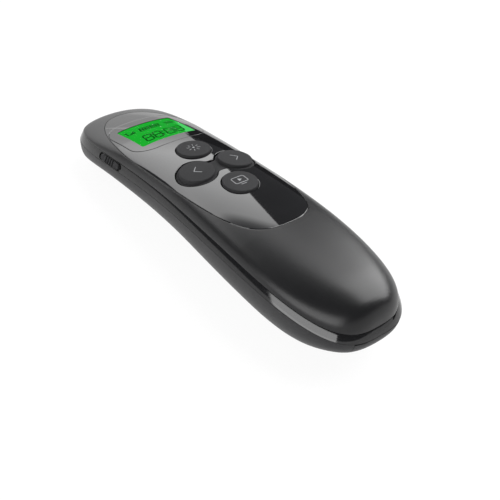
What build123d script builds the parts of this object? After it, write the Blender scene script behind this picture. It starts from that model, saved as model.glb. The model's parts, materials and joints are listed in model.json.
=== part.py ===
from build123d import *
from math import atan, atan2, cos, degrees, hypot, radians, sin
import os

# Handheld wireless presentation clicker: a curved two-part case with a glossy trim ring between
# the covers, a glossy inlay with a display and four keys, a side power slider, a battery door in
# the belly and a stored USB receiver in the tail.
# +X is the nose (laser end), +Y the left side (power slider), +Z up. The belly and the underside
# of the nose stand on z = 0. All sizes are in millimetres.

# ---- Overall form ------------------------------------------------------------------------------
LENGTH = 132.0            # tail tip to nose tip
PALM_WIDTH = 37.3         # widest place, in the palm
WAIST_WIDTH = 34.7        # narrowest place of the grip, beside the keys
HEAD_WIDTH = 35.6         # beside the display
CROWN_HEIGHT = 24.15      # highest point of the top cover
TAIL_CROWN = 22.65        # crown height where the tail starts to round over
NOSE_CROWN = 13.75        # crown height where the nose starts to round over
GROOVE_RISE = 4.5         # how far the finger groove lifts the underside
FOOT_DIP = 0.25           # how far belly and nose are planed flat where they stand
BELLY_X = -45.0           # lowest place of the belly
GROOVE_X = 30.0           # middle of the finger groove
NOSE_REST_X = 60.0        # where the nose stands

# ---- Parting lines: lower edge of the trim ring, and the ring's height above it -------------------
PART_TAIL = 11.5
PART_PALM = 15.66
PART_NOSE = 8.34
RING_HEIGHT_TAIL = 2.03
RING_HEIGHT_PALM = 2.16
RING_HEIGHT_NOSE = 2.88
RING_LEAN = 1.27          # the ring's face leans in by this much from its lower to its upper edge
RING_LAND = 0.85          # width of the ring's upper edge

# ---- Walls and fits ----------------------------------------------------------------------------
WALL = 1.8
SEAM = 0.06               # hairline between covers, ring and inlays
SLIP = 0.20               # clearance round pieces that move
LIP_WALL = 0.85           # tongue of the top cover inside the ring
LIP_REACH = 1.2           # how far that tongue dips into the bottom cover

# ---- Glossy inlay, display ----------------------------------------------------------------------
PANEL_TAIL_X = -29.0
PANEL_NOSE_X = 58.8
PANEL_WIDTH = 30.6
PANEL_THICK = 1.2
PANEL_BED = 1.2           # floor of the top cover under the inlay
LENS_X = 36.7
LENS_LENGTH = 23.8
LENS_WIDTH = 26.2
LENS_CORNER = 6.5
LCD_LENGTH = 17.4
LCD_WIDTH = 21.4
LCD_THICK = 2.0
LCD_FRAME_WALL = 1.0
LCD_FRAME_FLOOR = 1.5
LCD_FRAME_DROP = 1.1      # the frame's rim lies this far below the glass's face
LENS_EDGE = 0.9           # least depth of the display glass below the crown

# ---- Keys ----------------------------------------------------------------------------------------
KEY_DIAMETER = 10.5
KEY_PROUD = 0.8
KEY_TRAVEL = 0.5
KEY_FLANGE = 0.75         # how far a key's hidden flange stands out all round
FLANGE_THICK = 0.6
STEM_DIAMETER = 3.0
STEM_GAP = 0.2            # left between a pressed stem and its switch
LASER_KEY_X = 16.0
ROCKER_X = 4.5
SCREEN_KEY_X = -7.0
ROCKER_PITCH = 13.8       # between the centres of the two rocker pads
ROCKER_RIM = 0.7          # how far the rocker's base stands out round its pads
ROCKER_NECK = 5.6
ROCKER_TILT = 3.0         # degrees each way
PIVOT_DIAMETER = 1.2
PIVOT_DEPTH = -3.2        # pivot axis, below the crown
PIVOT_FIT = 0.06          # radial clearance of the pivot pins
ROCKER_SUNK = 0.3         # how far the rocker's base lies below the inlay
ROCKER_ROOM = 0.3         # clearance round the rocker, which tilts
LUG_X = 4.2               # middle of each pivot lug, from the rocker's middle
LUG_THICK = 1.2
LUG_WIDTH = 3.2
CAP_RADIUS = 60.0         # the keys' faces are domed to this radius

# ---- Power slider --------------------------------------------------------------------------------
SLIDER_X = 36.8
SLIDER_LENGTH = 10.4
SLIDER_HEIGHT = 2.0
SLIDER_TRAVEL = 2.0
SLIDER_DEPTH = 0.7
SLIDER_PROUD = 0.25
SLIDER_GROOVES = 4
SLIDER_GROOVE_PITCH = 1.25
SLIDER_GROOVE_WIDTH = 0.5
SLIDER_STEM = 3.0
SLIDER_STEM_HEIGHT = 1.2
SLIDER_HOOK = 4.2         # length of the plate that keeps the slider in its slot

# ---- Cells, door, screws ---------------------------------------------------------------------------
CELL_DIAMETER = 10.5
CELL_LENGTH = 43.3
CELL_NUB_DIAMETER = 3.8
CELL_NUB = 1.2
CELL_GAP = 0.4            # between the two cells, and from each to its bay wall
CONTACT_ROOM = 2.2        # for the leaf contact behind each cell
BAY_X = -37.6             # rear end of the battery bay
BAY_WALL = 1.2
DOOR_THICK = 1.5
DOOR_GAP = 0.25
DOOR_FRONT_GAP = 0.35     # the front edge swings forward a little as the door opens
TAB_Y = 9.4               # middle of each door tab
TAB_WIDTH = 3.0
TAB_THICK = 1.0
TAB_REACH = 1.5
LATCH_SHELF = 8.0         # shelf in front of the cells that carries the case screws
SHELF_THICK = 1.3
SCREW_DIAMETER = 2.0
SCREW_HEAD = 3.8
SCREW_HEAD_HEIGHT = 1.2
SCREW_ROOM = 0.3          # between the screw heads and the door
SCREW_LENGTH = 9.0
SCREW_SPACING = 17.2
BOSS_DIAMETER = 4.6
DOOR_SWING = 40.0         # degrees, until the door lifts off its tabs

# ---- Receiver --------------------------------------------------------------------------------------
RECEIVER_WIDTH = 15.8
RECEIVER_CAP = 7.2        # length of its grip, the tail tip of the case
PLUG_WIDTH = 12.0
PLUG_HEIGHT = 4.5
PLUG_LENGTH = 18.8
PLUG_SHEET = 0.3
PLUG_Z = 8.4
RECEIVER_TRAVEL = 24.0
RECEIVER_TOP = 11.4       # flat top of the grip, under the trim ring
RECEIVER_BAY_HALF = 7.8
PLUG_ROOT = 2.7           # length of the plug held in the grip

# ---- Boards and laser ------------------------------------------------------------------------------
BOARD_THICK = 1.0
BOARD_HALF_WIDTH = 13.2
CARRIER_THICK = 0.8
DOME_DIAMETER = 5.0
DOME_HEIGHT = 0.6
CONTACT_SHEET = 0.3
FRONT_BOARD_Z = 10.4
FRONT_BOARD_X = (24.0, 48.5)
FRONT_POST_X = (27.0, 46.0)
FRONT_POST_Y = 9.6
FLEX_THICK = 0.2
FLEX_WIDTH = 12.0
BOARD_TAIL_X = -38.5
BOARD_NOSE_X = 22.5
LASER_DIAMETER = 5.0
LASER_LENGTH = 10.0
LASER_FRONT_X = 62.3
LASER_Z = 5.9
WINDOW_DIAMETER = 4.2
WINDOW_THICK = 1.1

TAIL_X = -LENGTH / 2
NOSE_X = LENGTH / 2


class Profile:
    """Smooth plane curve through nodes (x, y, heading in degrees, handle before, handle after)."""

    def __init__(self, *nodes):
        self.nodes = nodes
        self.spans = []
        for (x0, y0, leave, _, out), (x1, y1, reach, back, _) in zip(nodes, nodes[1:]):
            leave, reach = radians(leave), radians(reach)
            self.spans.append((
                (x0, y0),
                (x0 + out * cos(leave), y0 + out * sin(leave)),
                (x1 - back * cos(reach), y1 - back * sin(reach)),
                (x1, y1),
            ))

    @staticmethod
    def on_span(span, t):
        """Point at t (0 to 1) on one cubic span."""
        s = 1 - t
        weights = (s**3, 3 * s * s * t, 3 * s * t * t, t**3)
        return tuple(sum(w * p[i] for w, p in zip(weights, span)) for i in (0, 1))

    def at(self, x):
        """Height of the curve at x."""
        span = next((s for s in self.spans if x <= s[3][0]), self.spans[-1])
        low, high = 0.0, 1.0
        for _ in range(44):
            middle = (low + high) / 2
            if self.on_span(span, middle)[0] < x:
                low = middle
            else:
                high = middle
        return self.on_span(span, (low + high) / 2)[1]

    def inset(self, depth):
        """Parallel curve, moved to the right of the direction of travel."""
        moved = [
            (x + depth * sin(radians(a)), y - depth * cos(radians(a)), a, back, out)
            for x, y, a, back, out in self.nodes
        ]
        ratios = [
            hypot(m1[0] - m0[0], m1[1] - m0[1]) / hypot(n1[0] - n0[0], n1[1] - n0[1])
            for m0, m1, n0, n1 in zip(moved, moved[1:], self.nodes, self.nodes[1:])
        ]
        before, after = [1.0] + ratios, ratios + [1.0]
        return Profile(*[
            (x, y, a, back * b, out * c) for (x, y, a, back, out), b, c in zip(moved, before, after)
        ])

    def ending_at(self, first_y, last_y):
        """The same curve with its two end nodes at other heights."""
        nodes = list(self.nodes)
        nodes[0] = (nodes[0][0], first_y, *nodes[0][2:])
        nodes[-1] = (nodes[-1][0], last_y, *nodes[-1][2:])
        return Profile(*nodes)

    def stations(self, spacing):
        """(x, y, heading) along the curve, both ends included, about one spacing apart."""
        first, last = self.nodes[0], self.nodes[-1]
        places = [first[:3]]
        for span in self.spans:
            steps = max(3, round(hypot(span[3][0] - span[0][0], span[3][1] - span[0][1]) / spacing))
            for i in range(1, steps + 1):
                t = i / steps
                (x0, y0), (x1, y1) = self.on_span(span, t - 0.01), self.on_span(span, t)
                places.append((x1, y1, degrees(atan2(y1 - y0, x1 - x0))))
        return places[:-1] + [last[:3]]

    def edges(self, plane=Plane.XY):
        """The curve's spans as edges on a plane."""
        return [Edge.make_bezier(*[plane.from_local_coords(Vector(*p)) for p in s]) for s in self.spans]


# ---- Guiding curves --------------------------------------------------------------------------------
OUTLINE = Profile(
    (TAIL_X, 0, 90, 0, 7.4),
    (TAIL_X + 35.6, PALM_WIDTH / 2, 0, 36.0, 17.8),
    (14.0, WAIST_WIDTH / 2, 0, 12.7, 15.1),
    (NOSE_X - 22.2, HEAD_WIDTH / 2, 0, 11.8, 21.6),
    (NOSE_X, 0, -90, 10.3, 0),
)
PALM_X = -20.0


def parting(lift_tail, lift_palm, lift_nose):
    """Side view of a parting line, the given heights above the ring's lower edge."""
    return Profile(
        (TAIL_X, PART_TAIL + lift_tail, 11.4, 0, 17),
        (PALM_X, PART_PALM + lift_palm, 0, 13, 27),
        (NOSE_X, PART_NOSE + lift_nose, -6.9, 30.7, 0),
    )


RING_LOW = parting(0, 0, 0)
RING_HIGH = parting(RING_HEIGHT_TAIL, RING_HEIGHT_PALM, RING_HEIGHT_NOSE)
TOP_OUTLINE = OUTLINE.inset(RING_LEAN)


def crown_line(depth=0.0, base_drop=0.0):
    """Side view of the top cover's centre line, or of its inner face at a depth."""
    line = Profile(
        (TAIL_X + RING_LEAN, 0, 90, 0, 5.6),
        (TAIL_X + 10, TAIL_CROWN, 2, 6.2, 6),
        (-10.6, CROWN_HEIGHT, 0, 16, 27),
        (NOSE_X - 5, NOSE_CROWN, -16.5, 25, 1.8),
        (NOSE_X - RING_LEAN, 0, -90, 1.2, 0),
    ).ending_at(RING_HIGH.at(TAIL_X + RING_LEAN), RING_HIGH.at(NOSE_X - RING_LEAN)).inset(depth)
    ends = [RING_HIGH.at(line.nodes[i][0]) - base_drop for i in (0, -1)]
    return line.ending_at(*ends)


def keel_line(depth=0.0, base_lift=0.0):
    """Side view of the bottom cover's centre line, or of its inner face at a depth."""
    line = Profile(
        (TAIL_X, RING_LOW.at(TAIL_X), -90, 0, 5.0),
        (TAIL_X + 9, 3.1, -22, 4, 5),
        (BELLY_X, -FOOT_DIP, 0, 6, 28),
        (GROOVE_X, GROOVE_RISE, 0, 22, 20),
        (NOSE_REST_X, -FOOT_DIP, 0, 4.5, 3),
        (NOSE_X, RING_LOW.at(NOSE_X), 90, 5, 0),
    ).inset(-depth)
    ends = [RING_LOW.at(line.nodes[i][0]) + base_lift for i in (0, -1)]
    return line.ending_at(*ends)


def between(x, table):
    """Value at x on straight runs through (x, value) pairs."""
    for (x0, v0), (x1, v1) in zip(table, table[1:]):
        if x <= x1:
            return v0 + (v1 - v0) * max(0.0, x - x0) / (x1 - x0)
    return table[-1][1]


# How full a cross-section is: the share of its height where the side stops being upright.
TOP_FULLNESS = ((TAIL_X, 0.66), (10, 0.76), (36, 0.70), (NOSE_X - 4, 0.18))
LOW_FULLNESS = ((TAIL_X, 0.62), (0, 0.68), (GROOVE_X, 0.95), (NOSE_X, 0.95))
TOP_FLATNESS = 0.62       # the share of its half-width where the crown stops being level
LOW_FLATNESS = 0.68
STATION_SPACING = 6.0


def dome(outline, edge, peak, fullness, flatness, edge_shift=0.0):
    """Closed dome over an outline: cubic quarter-sections lofted from tail point to nose point."""

    def section(x, half_width):
        foot, top = edge.at(x) + edge_shift, peak.at(x)
        shoulder = foot + between(x, fullness) * (top - foot)
        left = Bezier((x, half_width, foot), (x, half_width, shoulder), (x, flatness * half_width, top), (x, 0, top))
        right = Bezier((x, 0, top), (x, -flatness * half_width, top), (x, -half_width, shoulder), (x, -half_width, foot))
        return Wire([left, right, Edge.make_line((x, -half_width, foot), (x, half_width, foot))])

    tips = [outline.nodes[i][0] for i in (0, -1)]
    tail, nose = [Vertex(x, 0, edge.at(x) + edge_shift) for x in tips]
    sections = [section(x, w) for x, w, _ in outline.stations(STATION_SPACING)[1:-1]]
    return Solid.make_loft([tail, *sections, nose])


def top_dome(depth=0.0, base_drop=0.0):
    """Solid form of the top cover, or of the room inside it at a depth."""
    outline = OUTLINE.inset(RING_LEAN + depth)
    return dome(outline, RING_HIGH, crown_line(depth, base_drop), TOP_FULLNESS, TOP_FLATNESS, -base_drop)


def low_dome(depth=0.0, base_lift=0.0):
    """Solid form of the bottom cover, or of the room inside it at a depth."""
    return dome(
        OUTLINE.inset(depth), RING_LOW, keel_line(depth, base_lift), LOW_FULLNESS, LOW_FLATNESS, base_lift
    )


def surface_height(x, y, half_width, foot, top, fullness, flatness):
    """Height of a dome's face over a point, from the size of its cross-section there."""
    shoulder = foot + between(x, fullness) * (top - foot)
    quarter = ((half_width, foot), (half_width, shoulder), (flatness * half_width, top), (0.0, top))
    low, high = 0.0, 1.0
    for _ in range(40):
        middle = (low + high) / 2
        if Profile.on_span(quarter, middle)[0] > abs(y):
            low = middle
        else:
            high = middle
    return Profile.on_span(quarter, low)[1]


def crown_height(x, y=0.0):
    """Height of the top cover's outer face over a point."""
    return surface_height(x, y, TOP_OUTLINE.at(x), RING_HIGH.at(x), CROWN.at(x), TOP_FULLNESS, TOP_FLATNESS)


def keel_height(x, y=0.0):
    """Height of the bottom cover's outer face under a point."""
    return surface_height(x, y, OUTLINE.at(x), RING_LOW.at(x), KEEL.at(x), LOW_FULLNESS, LOW_FLATNESS)


def crown_plane(x, y=0.0):
    """Plane touching the crown over a point, its Z leaving the case."""
    step = 0.5
    along = Vector(2 * step, 0, crown_height(x + step, y) - crown_height(x - step, y)).normalized()
    across = Vector(0, 2 * step, crown_height(x, y + step) - crown_height(x, y - step)).normalized()
    return Plane((x, y, crown_height(x, y)), x_dir=along, z_dir=along.cross(across))


def block(x0, x1, y0, y1, z0, z1):
    """Box between two corners."""
    return Pos((x0 + x1) / 2, (y0 + y1) / 2, (z0 + z1) / 2) * Box(x1 - x0, y1 - y0, z1 - z0)


def rod(diameter, x0, x1, y, z):
    """Round bar along X."""
    return Pos((x0 + x1) / 2, y, z) * Rot(0, 90, 0) * Cylinder(diameter / 2, x1 - x0)


def pillar(diameter, x, y, z0, z1):
    """Round bar along Z."""
    return Pos(x, y, (z0 + z1) / 2) * Cylinder(diameter / 2, z1 - z0)


def mirrored_face(profile):
    """Face inside a half outline and its mirror image across the X axis."""
    half = profile.edges()
    return make_face(Wire(half + [edge.mirror(Plane.XZ) for edge in half]))


def slab_over(profile, z0, z1):
    """Upright prism of a mirrored outline."""
    return extrude(Pos(0, 0, z0) * mirrored_face(profile), z1 - z0)


def rim_loop(corners):
    """Closed band round the case; each corner is (inset from the outline, edge curve, lift)."""
    sections = []
    for x, y, heading in OUTLINE.stations(STATION_SPACING):
        inward = Vector(sin(radians(heading)), -cos(radians(heading)))
        spots = []
        for depth, edge, lift in corners:
            spot = Vector(x, y) + inward * depth
            spots.append((spot.X, spot.Y, edge.at(spot.X) + lift))
        sections.append(Wire.make_polygon(spots))
    half = Solid.make_loft(sections)
    return half.fuse(half.mirror(Plane.XZ))


CROWN = crown_line()
KEEL = keel_line()

# ---- Places worked out from the sizes above -----------------------------------------------------
CELL_PITCH = CELL_DIAMETER + CELL_GAP
BAY_LENGTH = CELL_LENGTH + CELL_NUB + CONTACT_ROOM + CELL_GAP
BAY_FRONT = BAY_X + BAY_LENGTH
BAY_HALF = CELL_PITCH / 2 + CELL_DIAMETER / 2 + CELL_GAP
SHELF_FRONT = BAY_FRONT + BAY_WALL + LATCH_SHELF
DOOR_INNER_FRONT = KEEL.at(BAY_FRONT) + DOOR_THICK
CELLS_X = (BAY_X + CELL_GAP, BAY_X + CELL_GAP + CELL_LENGTH + CELL_NUB)
TAB_Z = keel_height(BAY_X, TAB_Y + TAB_WIDTH / 2) + 1.3 * WALL + 0.15
CELL_Z = DOOR_INNER_FRONT + CELL_GAP + CELL_DIAMETER / 2
BAY_TOP = CELL_Z + 3.0
CARRIER_TOP = CELL_Z + CELL_DIAMETER / 2 + SLIP + CARRIER_THICK
BOARD_Z = CARRIER_TOP + 0.3
BOARD_TOP = BOARD_Z + BOARD_THICK
DOME_TOP = BOARD_TOP + DOME_HEIGHT
STEM_END = DOME_TOP + KEY_TRAVEL + STEM_GAP
BED_DEPTH = PANEL_THICK + PANEL_BED
SCREW_X = BAY_FRONT + BAY_WALL + LATCH_SHELF / 2
SCREW_EDGE_Y = SCREW_SPACING / 2 + SCREW_HEAD / 2
SHELF_Z = keel_height(SCREW_X, SCREW_EDGE_Y) + 1.15 * DOOR_THICK + SCREW_ROOM + SCREW_HEAD_HEIGHT
NOTCH_X = TAIL_X + RECEIVER_CAP
NOTCH_HALF = RECEIVER_WIDTH / 2 + SLIP / 2
PLUG_END = NOTCH_X + PLUG_LENGTH

PANEL_MIDDLE_X = 24.0
PANEL_OUTLINE = Profile(
    (PANEL_TAIL_X, 0, 90, 0, 14.0),
    (PANEL_MIDDLE_X, PANEL_WIDTH / 2, 0, 43.0, 22.0),
    (PANEL_NOSE_X, 0, -90, 9.5, 0),
)


def up(solid, lift):
    """The solid moved along Z."""
    return Pos(0, 0, lift) * solid


def cylinder_on(plane, diameter, z0, z1):
    """Round bar on a plane's Z axis, between two heights above it."""
    return plane.offset((z0 + z1) / 2).location * Cylinder(diameter / 2, z1 - z0)


def rocker_outline(growth):
    """Two discs joined by a waisted neck, grown all round."""
    pads = [Pos(0, side * ROCKER_PITCH / 2) * Circle(KEY_DIAMETER / 2 + ROCKER_RIM + growth) for side in (-1, 1)]
    neck = Rectangle(ROCKER_NECK + 2 * growth, ROCKER_PITCH)
    whole = pads[0] + neck + pads[1]
    inner_corners = [v for v in whole.vertices() if abs(v.Y) < ROCKER_PITCH / 2]
    return fillet(inner_corners, 1.6)


def rocker_prism(growth):
    """Upright prism of the rocker's outline through the whole top of the case."""
    return extrude(Pos(ROCKER_X, 0, BOARD_TOP) * rocker_outline(growth), CROWN_HEIGHT)


def lens_prism(growth):
    """Upright prism of the display lens."""
    outline = RectangleRounded(LENS_LENGTH + 2 * growth, LENS_WIDTH + 2 * growth, LENS_CORNER + growth)
    return extrude(Pos(LENS_X, 0, FRONT_BOARD_Z) * outline, CROWN_HEIGHT)


def display_plane():
    """Plane of the display glass's upper face, square across the case, under the lens."""
    reach = LCD_LENGTH / 2
    corner = LCD_WIDTH / 2
    rise = crown_height(LENS_X + reach, corner) - crown_height(LENS_X - reach, corner)
    slope = atan(rise / (2 * reach))
    middle = crown_height(LENS_X, corner) - LENS_EDGE
    return Plane((LENS_X, 0, middle), x_dir=(cos(slope), 0, sin(slope)), z_dir=(-sin(slope), 0, cos(slope)))


DISPLAY = display_plane()


def on_display(length, width, z0, z1):
    """Box on the display plane, between two heights above it."""
    return DISPLAY.offset((z0 + z1) / 2).location * Box(length, width, z1 - z0)


def slider_plane():
    """Plane on the ring's slanted face at the slider: local X along the ring, Z leaving the case."""

    def facet_middle(x):
        half_width = OUTLINE.at(x) - RING_LEAN / 2
        return Vector(x, half_width, (RING_LOW.at(x) + RING_HIGH.at(x)) / 2)

    along = (facet_middle(SLIDER_X + 1) - facet_middle(SLIDER_X - 1)).normalized()
    up_the_face = Vector(0, -RING_LEAN, RING_HIGH.at(SLIDER_X) - RING_LOW.at(SLIDER_X))
    return Plane(facet_middle(SLIDER_X), x_dir=along, z_dir=up_the_face.cross(along).normalized())


SLIDER_PLANE = slider_plane()
LASER_BACK_X = LASER_FRONT_X - LASER_LENGTH

OUTER_TOP = top_dome()
OUTER_LOW = low_dome()
TOP_SKIN = OUTER_TOP - up(OUTER_TOP, -PANEL_THICK)


def panel_prism(growth):
    """Upright prism of the inlay's outline, grown all round."""
    return slab_over(PANEL_OUTLINE.inset(-growth), BOARD_TOP - 10, CROWN_HEIGHT + 5)


def key_hole(x):
    """Opening for a round key, square to the crown."""
    return cylinder_on(crown_plane(x), KEY_DIAMETER + 2 * SLIP, -BED_DEPTH - 1.5, PANEL_THICK)


# ---- Case --------------------------------------------------------------------------------------
def make_front_panel():
    """Glossy inlay: a skin of the crown with openings for the lens and the keys."""
    panel = (TOP_SKIN & panel_prism(0)) - lens_prism(SEAM)
    for x in (LASER_KEY_X, SCREEN_KEY_X):
        panel -= key_hole(x)
    return panel - rocker_prism(ROCKER_ROOM)


def make_display_lens():
    """Clear lens, flush with the inlay outside and flat inside where it meets the display."""
    core = on_display(LCD_LENGTH - SLIP, LCD_WIDTH - SLIP, 0.05, BED_DEPTH)
    lens = (TOP_SKIN & lens_prism(0)) + (core & up(OUTER_TOP, -PANEL_THICK / 2))
    return lens - on_display(LCD_LENGTH + SLIP, LCD_WIDTH + SLIP, -3, 0.05)


def boss_places():
    """Centres of the two case-screw bosses."""
    return [(SCREW_X, side * SCREW_SPACING / 2) for side in (-1, 1)]


def pivot_plane():
    """Plane on the rocker's pivot axis: local X along the pivot, Z square to the crown."""
    return crown_plane(ROCKER_X).offset(PIVOT_DEPTH)


def make_top_cover():
    """Upper half of the case: domed shell, bed for the inlay, tongue, screw bosses, pivot lugs."""
    bed_gap = panel_prism(PANEL_BED) - up(OUTER_TOP, -BED_DEPTH)
    cover = OUTER_TOP - (top_dome(WALL, 1.0) - bed_gap)
    inset = RING_LEAN + RING_LAND + SLIP
    low, high = -LIP_REACH, 0.3
    tongue = rim_loop([
        (inset, RING_LOW, low), (inset, RING_HIGH, high),
        (inset + LIP_WALL, RING_HIGH, high), (inset + LIP_WALL, RING_LOW, low),
    ])
    tongue -= block(TAIL_X, NOTCH_X, -NOTCH_HALF - 1, NOTCH_HALF + 1, 0, CROWN_HEIGHT)
    tongue -= block(SLIDER_X - SLIDER_LENGTH, SLIDER_X + SLIDER_LENGTH, 5, PALM_WIDTH, 0, CROWN_HEIGHT)
    cover += tongue
    for x, y in boss_places():
        cover += pillar(BOSS_DIAMETER, x, y, SHELF_Z + SHELF_THICK + SEAM, crown_height(x, y) - WALL)
        cover -= pillar(SCREW_DIAMETER + 0.1, x, y, 0, SHELF_Z + SCREW_LENGTH + 0.5)
    pivot = pivot_plane()
    lug_low, lug_high = -PIVOT_DIAMETER, -PIVOT_DEPTH - PANEL_THICK - 0.2
    for side in (-1, 1):
        lug = Pos(side * LUG_X, 0, (lug_low + lug_high) / 2) * Box(LUG_THICK, LUG_WIDTH, lug_high - lug_low)
        cover += pivot.location * lug
    cover -= TOP_SKIN & panel_prism(SEAM)
    for x in (LASER_KEY_X, SCREEN_KEY_X):
        cover -= key_hole(x)
    cover -= rocker_prism(ROCKER_ROOM) & (OUTER_TOP - up(OUTER_TOP, -BED_DEPTH - 0.1))
    frame_length, frame_width = LCD_LENGTH + 2 * LCD_FRAME_WALL, LCD_WIDTH + 2 * LCD_FRAME_WALL
    cover -= on_display(frame_length + 2 * SLIP, frame_width + 2 * SLIP, -4, 3)
    span = 2 * LUG_X + LUG_THICK + 1
    pin_room = Rot(0, 90, 0) * Cylinder(PIVOT_DIAMETER / 2 + PIVOT_FIT, span)
    snap_slot = Pos(0, 0, -PIVOT_DIAMETER) * Box(span, 0.8 * PIVOT_DIAMETER, 2 * PIVOT_DIAMETER)
    return cover - pivot.location * (pin_room + snap_slot)


def slider_bar(length, height, z0, z1):
    """Bar with round ends on the slider's plane, between two heights above it."""
    return SLIDER_PLANE.offset(z0).location * extrude(SlotOverall(length, height), z1 - z0)


def make_trim_ring():
    """Glossy ring with a slanted face, clamped between the covers, with the slider's recess."""
    inner = RING_LEAN + RING_LAND
    ring = rim_loop([
        (0, RING_LOW, SEAM), (RING_LEAN, RING_HIGH, -SEAM), (inner, RING_HIGH, -SEAM), (inner, RING_LOW, SEAM),
    ])
    room = SLIDER_TRAVEL + 2 * SLIP
    ring -= slider_bar(SLIDER_LENGTH + room, SLIDER_HEIGHT + 2 * SLIP, -SLIDER_DEPTH, 1)
    slot = Box(SLIDER_STEM + room, SLIDER_STEM_HEIGHT + 2 * SLIP, 5)
    return ring - SLIDER_PLANE.offset(-2.5).location * slot


def make_bottom_cover():
    """Lower half of the case: shell, battery bay, receiver bay, laser cradle, board posts."""
    inside = low_dome(WALL, 1.0)
    bay_out, shelf_out = BAY_HALF + BAY_WALL, SHELF_FRONT + BAY_WALL
    bay = block(BAY_X - BAY_WALL, BAY_FRONT + BAY_WALL, -bay_out, bay_out, -1, BAY_TOP)
    bay -= block(BAY_X, BAY_FRONT, -BAY_HALF, BAY_HALF, -2, BAY_TOP + 1)
    shelf = block(BAY_FRONT, shelf_out, -bay_out, bay_out, -1, SHELF_Z + SHELF_THICK)
    shelf -= block(BAY_FRONT - 1, SHELF_FRONT, -BAY_HALF, BAY_HALF, -2, SHELF_Z)
    plug_top = PLUG_Z + PLUG_HEIGHT / 2 + 1.4
    fittings = [
        bay,
        shelf,
        block(NOTCH_X, BAY_X - BAY_WALL / 2, -RECEIVER_BAY_HALF, RECEIVER_BAY_HALF, 0, plug_top),
        block(LASER_BACK_X + 1.5, LASER_FRONT_X - 2, -0.75 * LASER_DIAMETER, 0.75 * LASER_DIAMETER, 0, LASER_Z),
    ]
    fittings += [pillar(3.0, x, side * FRONT_POST_Y, 0, FRONT_BOARD_Z) for x in FRONT_POST_X for side in (-1, 1)]
    room = low_dome(WALL / 2, 1.0)
    cover = OUTER_LOW - inside
    for fitting in fittings:
        cover += fitting & room
    cover -= rod(LASER_DIAMETER + 2 * SEAM, LASER_BACK_X - 1, LASER_FRONT_X + SLIP, 0, LASER_Z)
    cover -= rod(WINDOW_DIAMETER - 1.2, LASER_FRONT_X, NOSE_X + 1, 0, LASER_Z)
    cover -= rod(WINDOW_DIAMETER + 2 * SEAM, NOSE_X - WINDOW_THICK, NOSE_X + 1, 0, LASER_Z)
    cover -= block(BAY_X, SHELF_FRONT, -BAY_HALF, BAY_HALF, -2, SHELF_Z) - inside
    cover -= block(TAIL_X - 1, NOTCH_X, -NOTCH_HALF, NOTCH_HALF, 0, PART_PALM)
    plug_length = PLUG_LENGTH + SLIP
    plug_room = Box(plug_length + 1, PLUG_WIDTH + 2 * SLIP, PLUG_HEIGHT + 2 * SLIP)
    cover -= Pos(NOTCH_X + (plug_length - 1) / 2, 0, PLUG_Z) * plug_room
    for side in (-1, 1):
        half_slot = TAB_WIDTH / 2 + SLIP
        cover -= block(
            BAY_X - BAY_WALL - 0.1, BAY_X + 0.1, side * TAB_Y - half_slot, side * TAB_Y + half_slot,
            TAB_Z - SLIP, TAB_Z + TAB_THICK + 1.5,
        )
    for x, y in boss_places():
        cover -= pillar(SCREW_DIAMETER + 2 * SLIP, x, y, SHELF_Z - 1, BOARD_Z)
    return cover - block(TAIL_X, NOSE_X, -PALM_WIDTH, PALM_WIDTH, -5, 0)


def make_battery_door():
    """Door in the belly: tabs hook over the rear edge of its opening, a tongue springs at the front."""
    front, half = SHELF_FRONT - DOOR_FRONT_GAP, BAY_HALF - DOOR_GAP
    door = (OUTER_LOW - low_dome(DOOR_THICK)) & block(BAY_X + DOOR_GAP, front, -half, half, -2, CELL_Z)
    tab_end = BAY_X + 4
    riser = block(BAY_X + DOOR_GAP, tab_end, -half, half, 0, TAB_Z + TAB_THICK) & low_dome(DOOR_THICK / 2)
    for side in (-1, 1):
        y0, y1 = side * TAB_Y - TAB_WIDTH / 2, side * TAB_Y + TAB_WIDTH / 2
        door += riser & block(BAY_X, tab_end, y0, y1, 0, CELL_Z)
        door += block(BAY_X - TAB_REACH, tab_end, y0, y1, TAB_Z, TAB_Z + TAB_THICK)
    latch = (11.0, 9.0)   # length and width of the springing tongue
    for side in (-1, 1):
        door -= block(front - latch[0], front + 1, side * latch[1] / 2 - 0.3, side * latch[1] / 2 + 0.3, -2, CELL_Z)
    door -= Pos(front - 3.6, 0, KEEL.at(front - 3.6) - 4.2) * Rot(90, 0, 0) * Cylinder(5.0, 7.5)
    return door - block(TAIL_X, NOSE_X, -PALM_WIDTH, PALM_WIDTH, -5, 0.15)


def make_case_screws():
    """Two self-tapping screws from below, with cross recesses."""
    screws = []
    for x, y in boss_places():
        screw = pillar(SCREW_HEAD, x, y, SHELF_Z - SCREW_HEAD_HEIGHT, SHELF_Z)
        screw += pillar(SCREW_DIAMETER, x, y, SHELF_Z, SHELF_Z + SCREW_LENGTH)
        for angle in (0, 90):
            screw -= Pos(x, y, SHELF_Z - SCREW_HEAD_HEIGHT) * Rot(0, 0, angle) * Box(2.2, 0.5, 1.2)
        screws.append(screw)
    return Compound(screws)


# ---- Display -----------------------------------------------------------------------------------
def make_lcd_glass():
    """Display glass sandwich."""
    return on_display(LCD_LENGTH, LCD_WIDTH, -LCD_THICK, 0)


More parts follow.
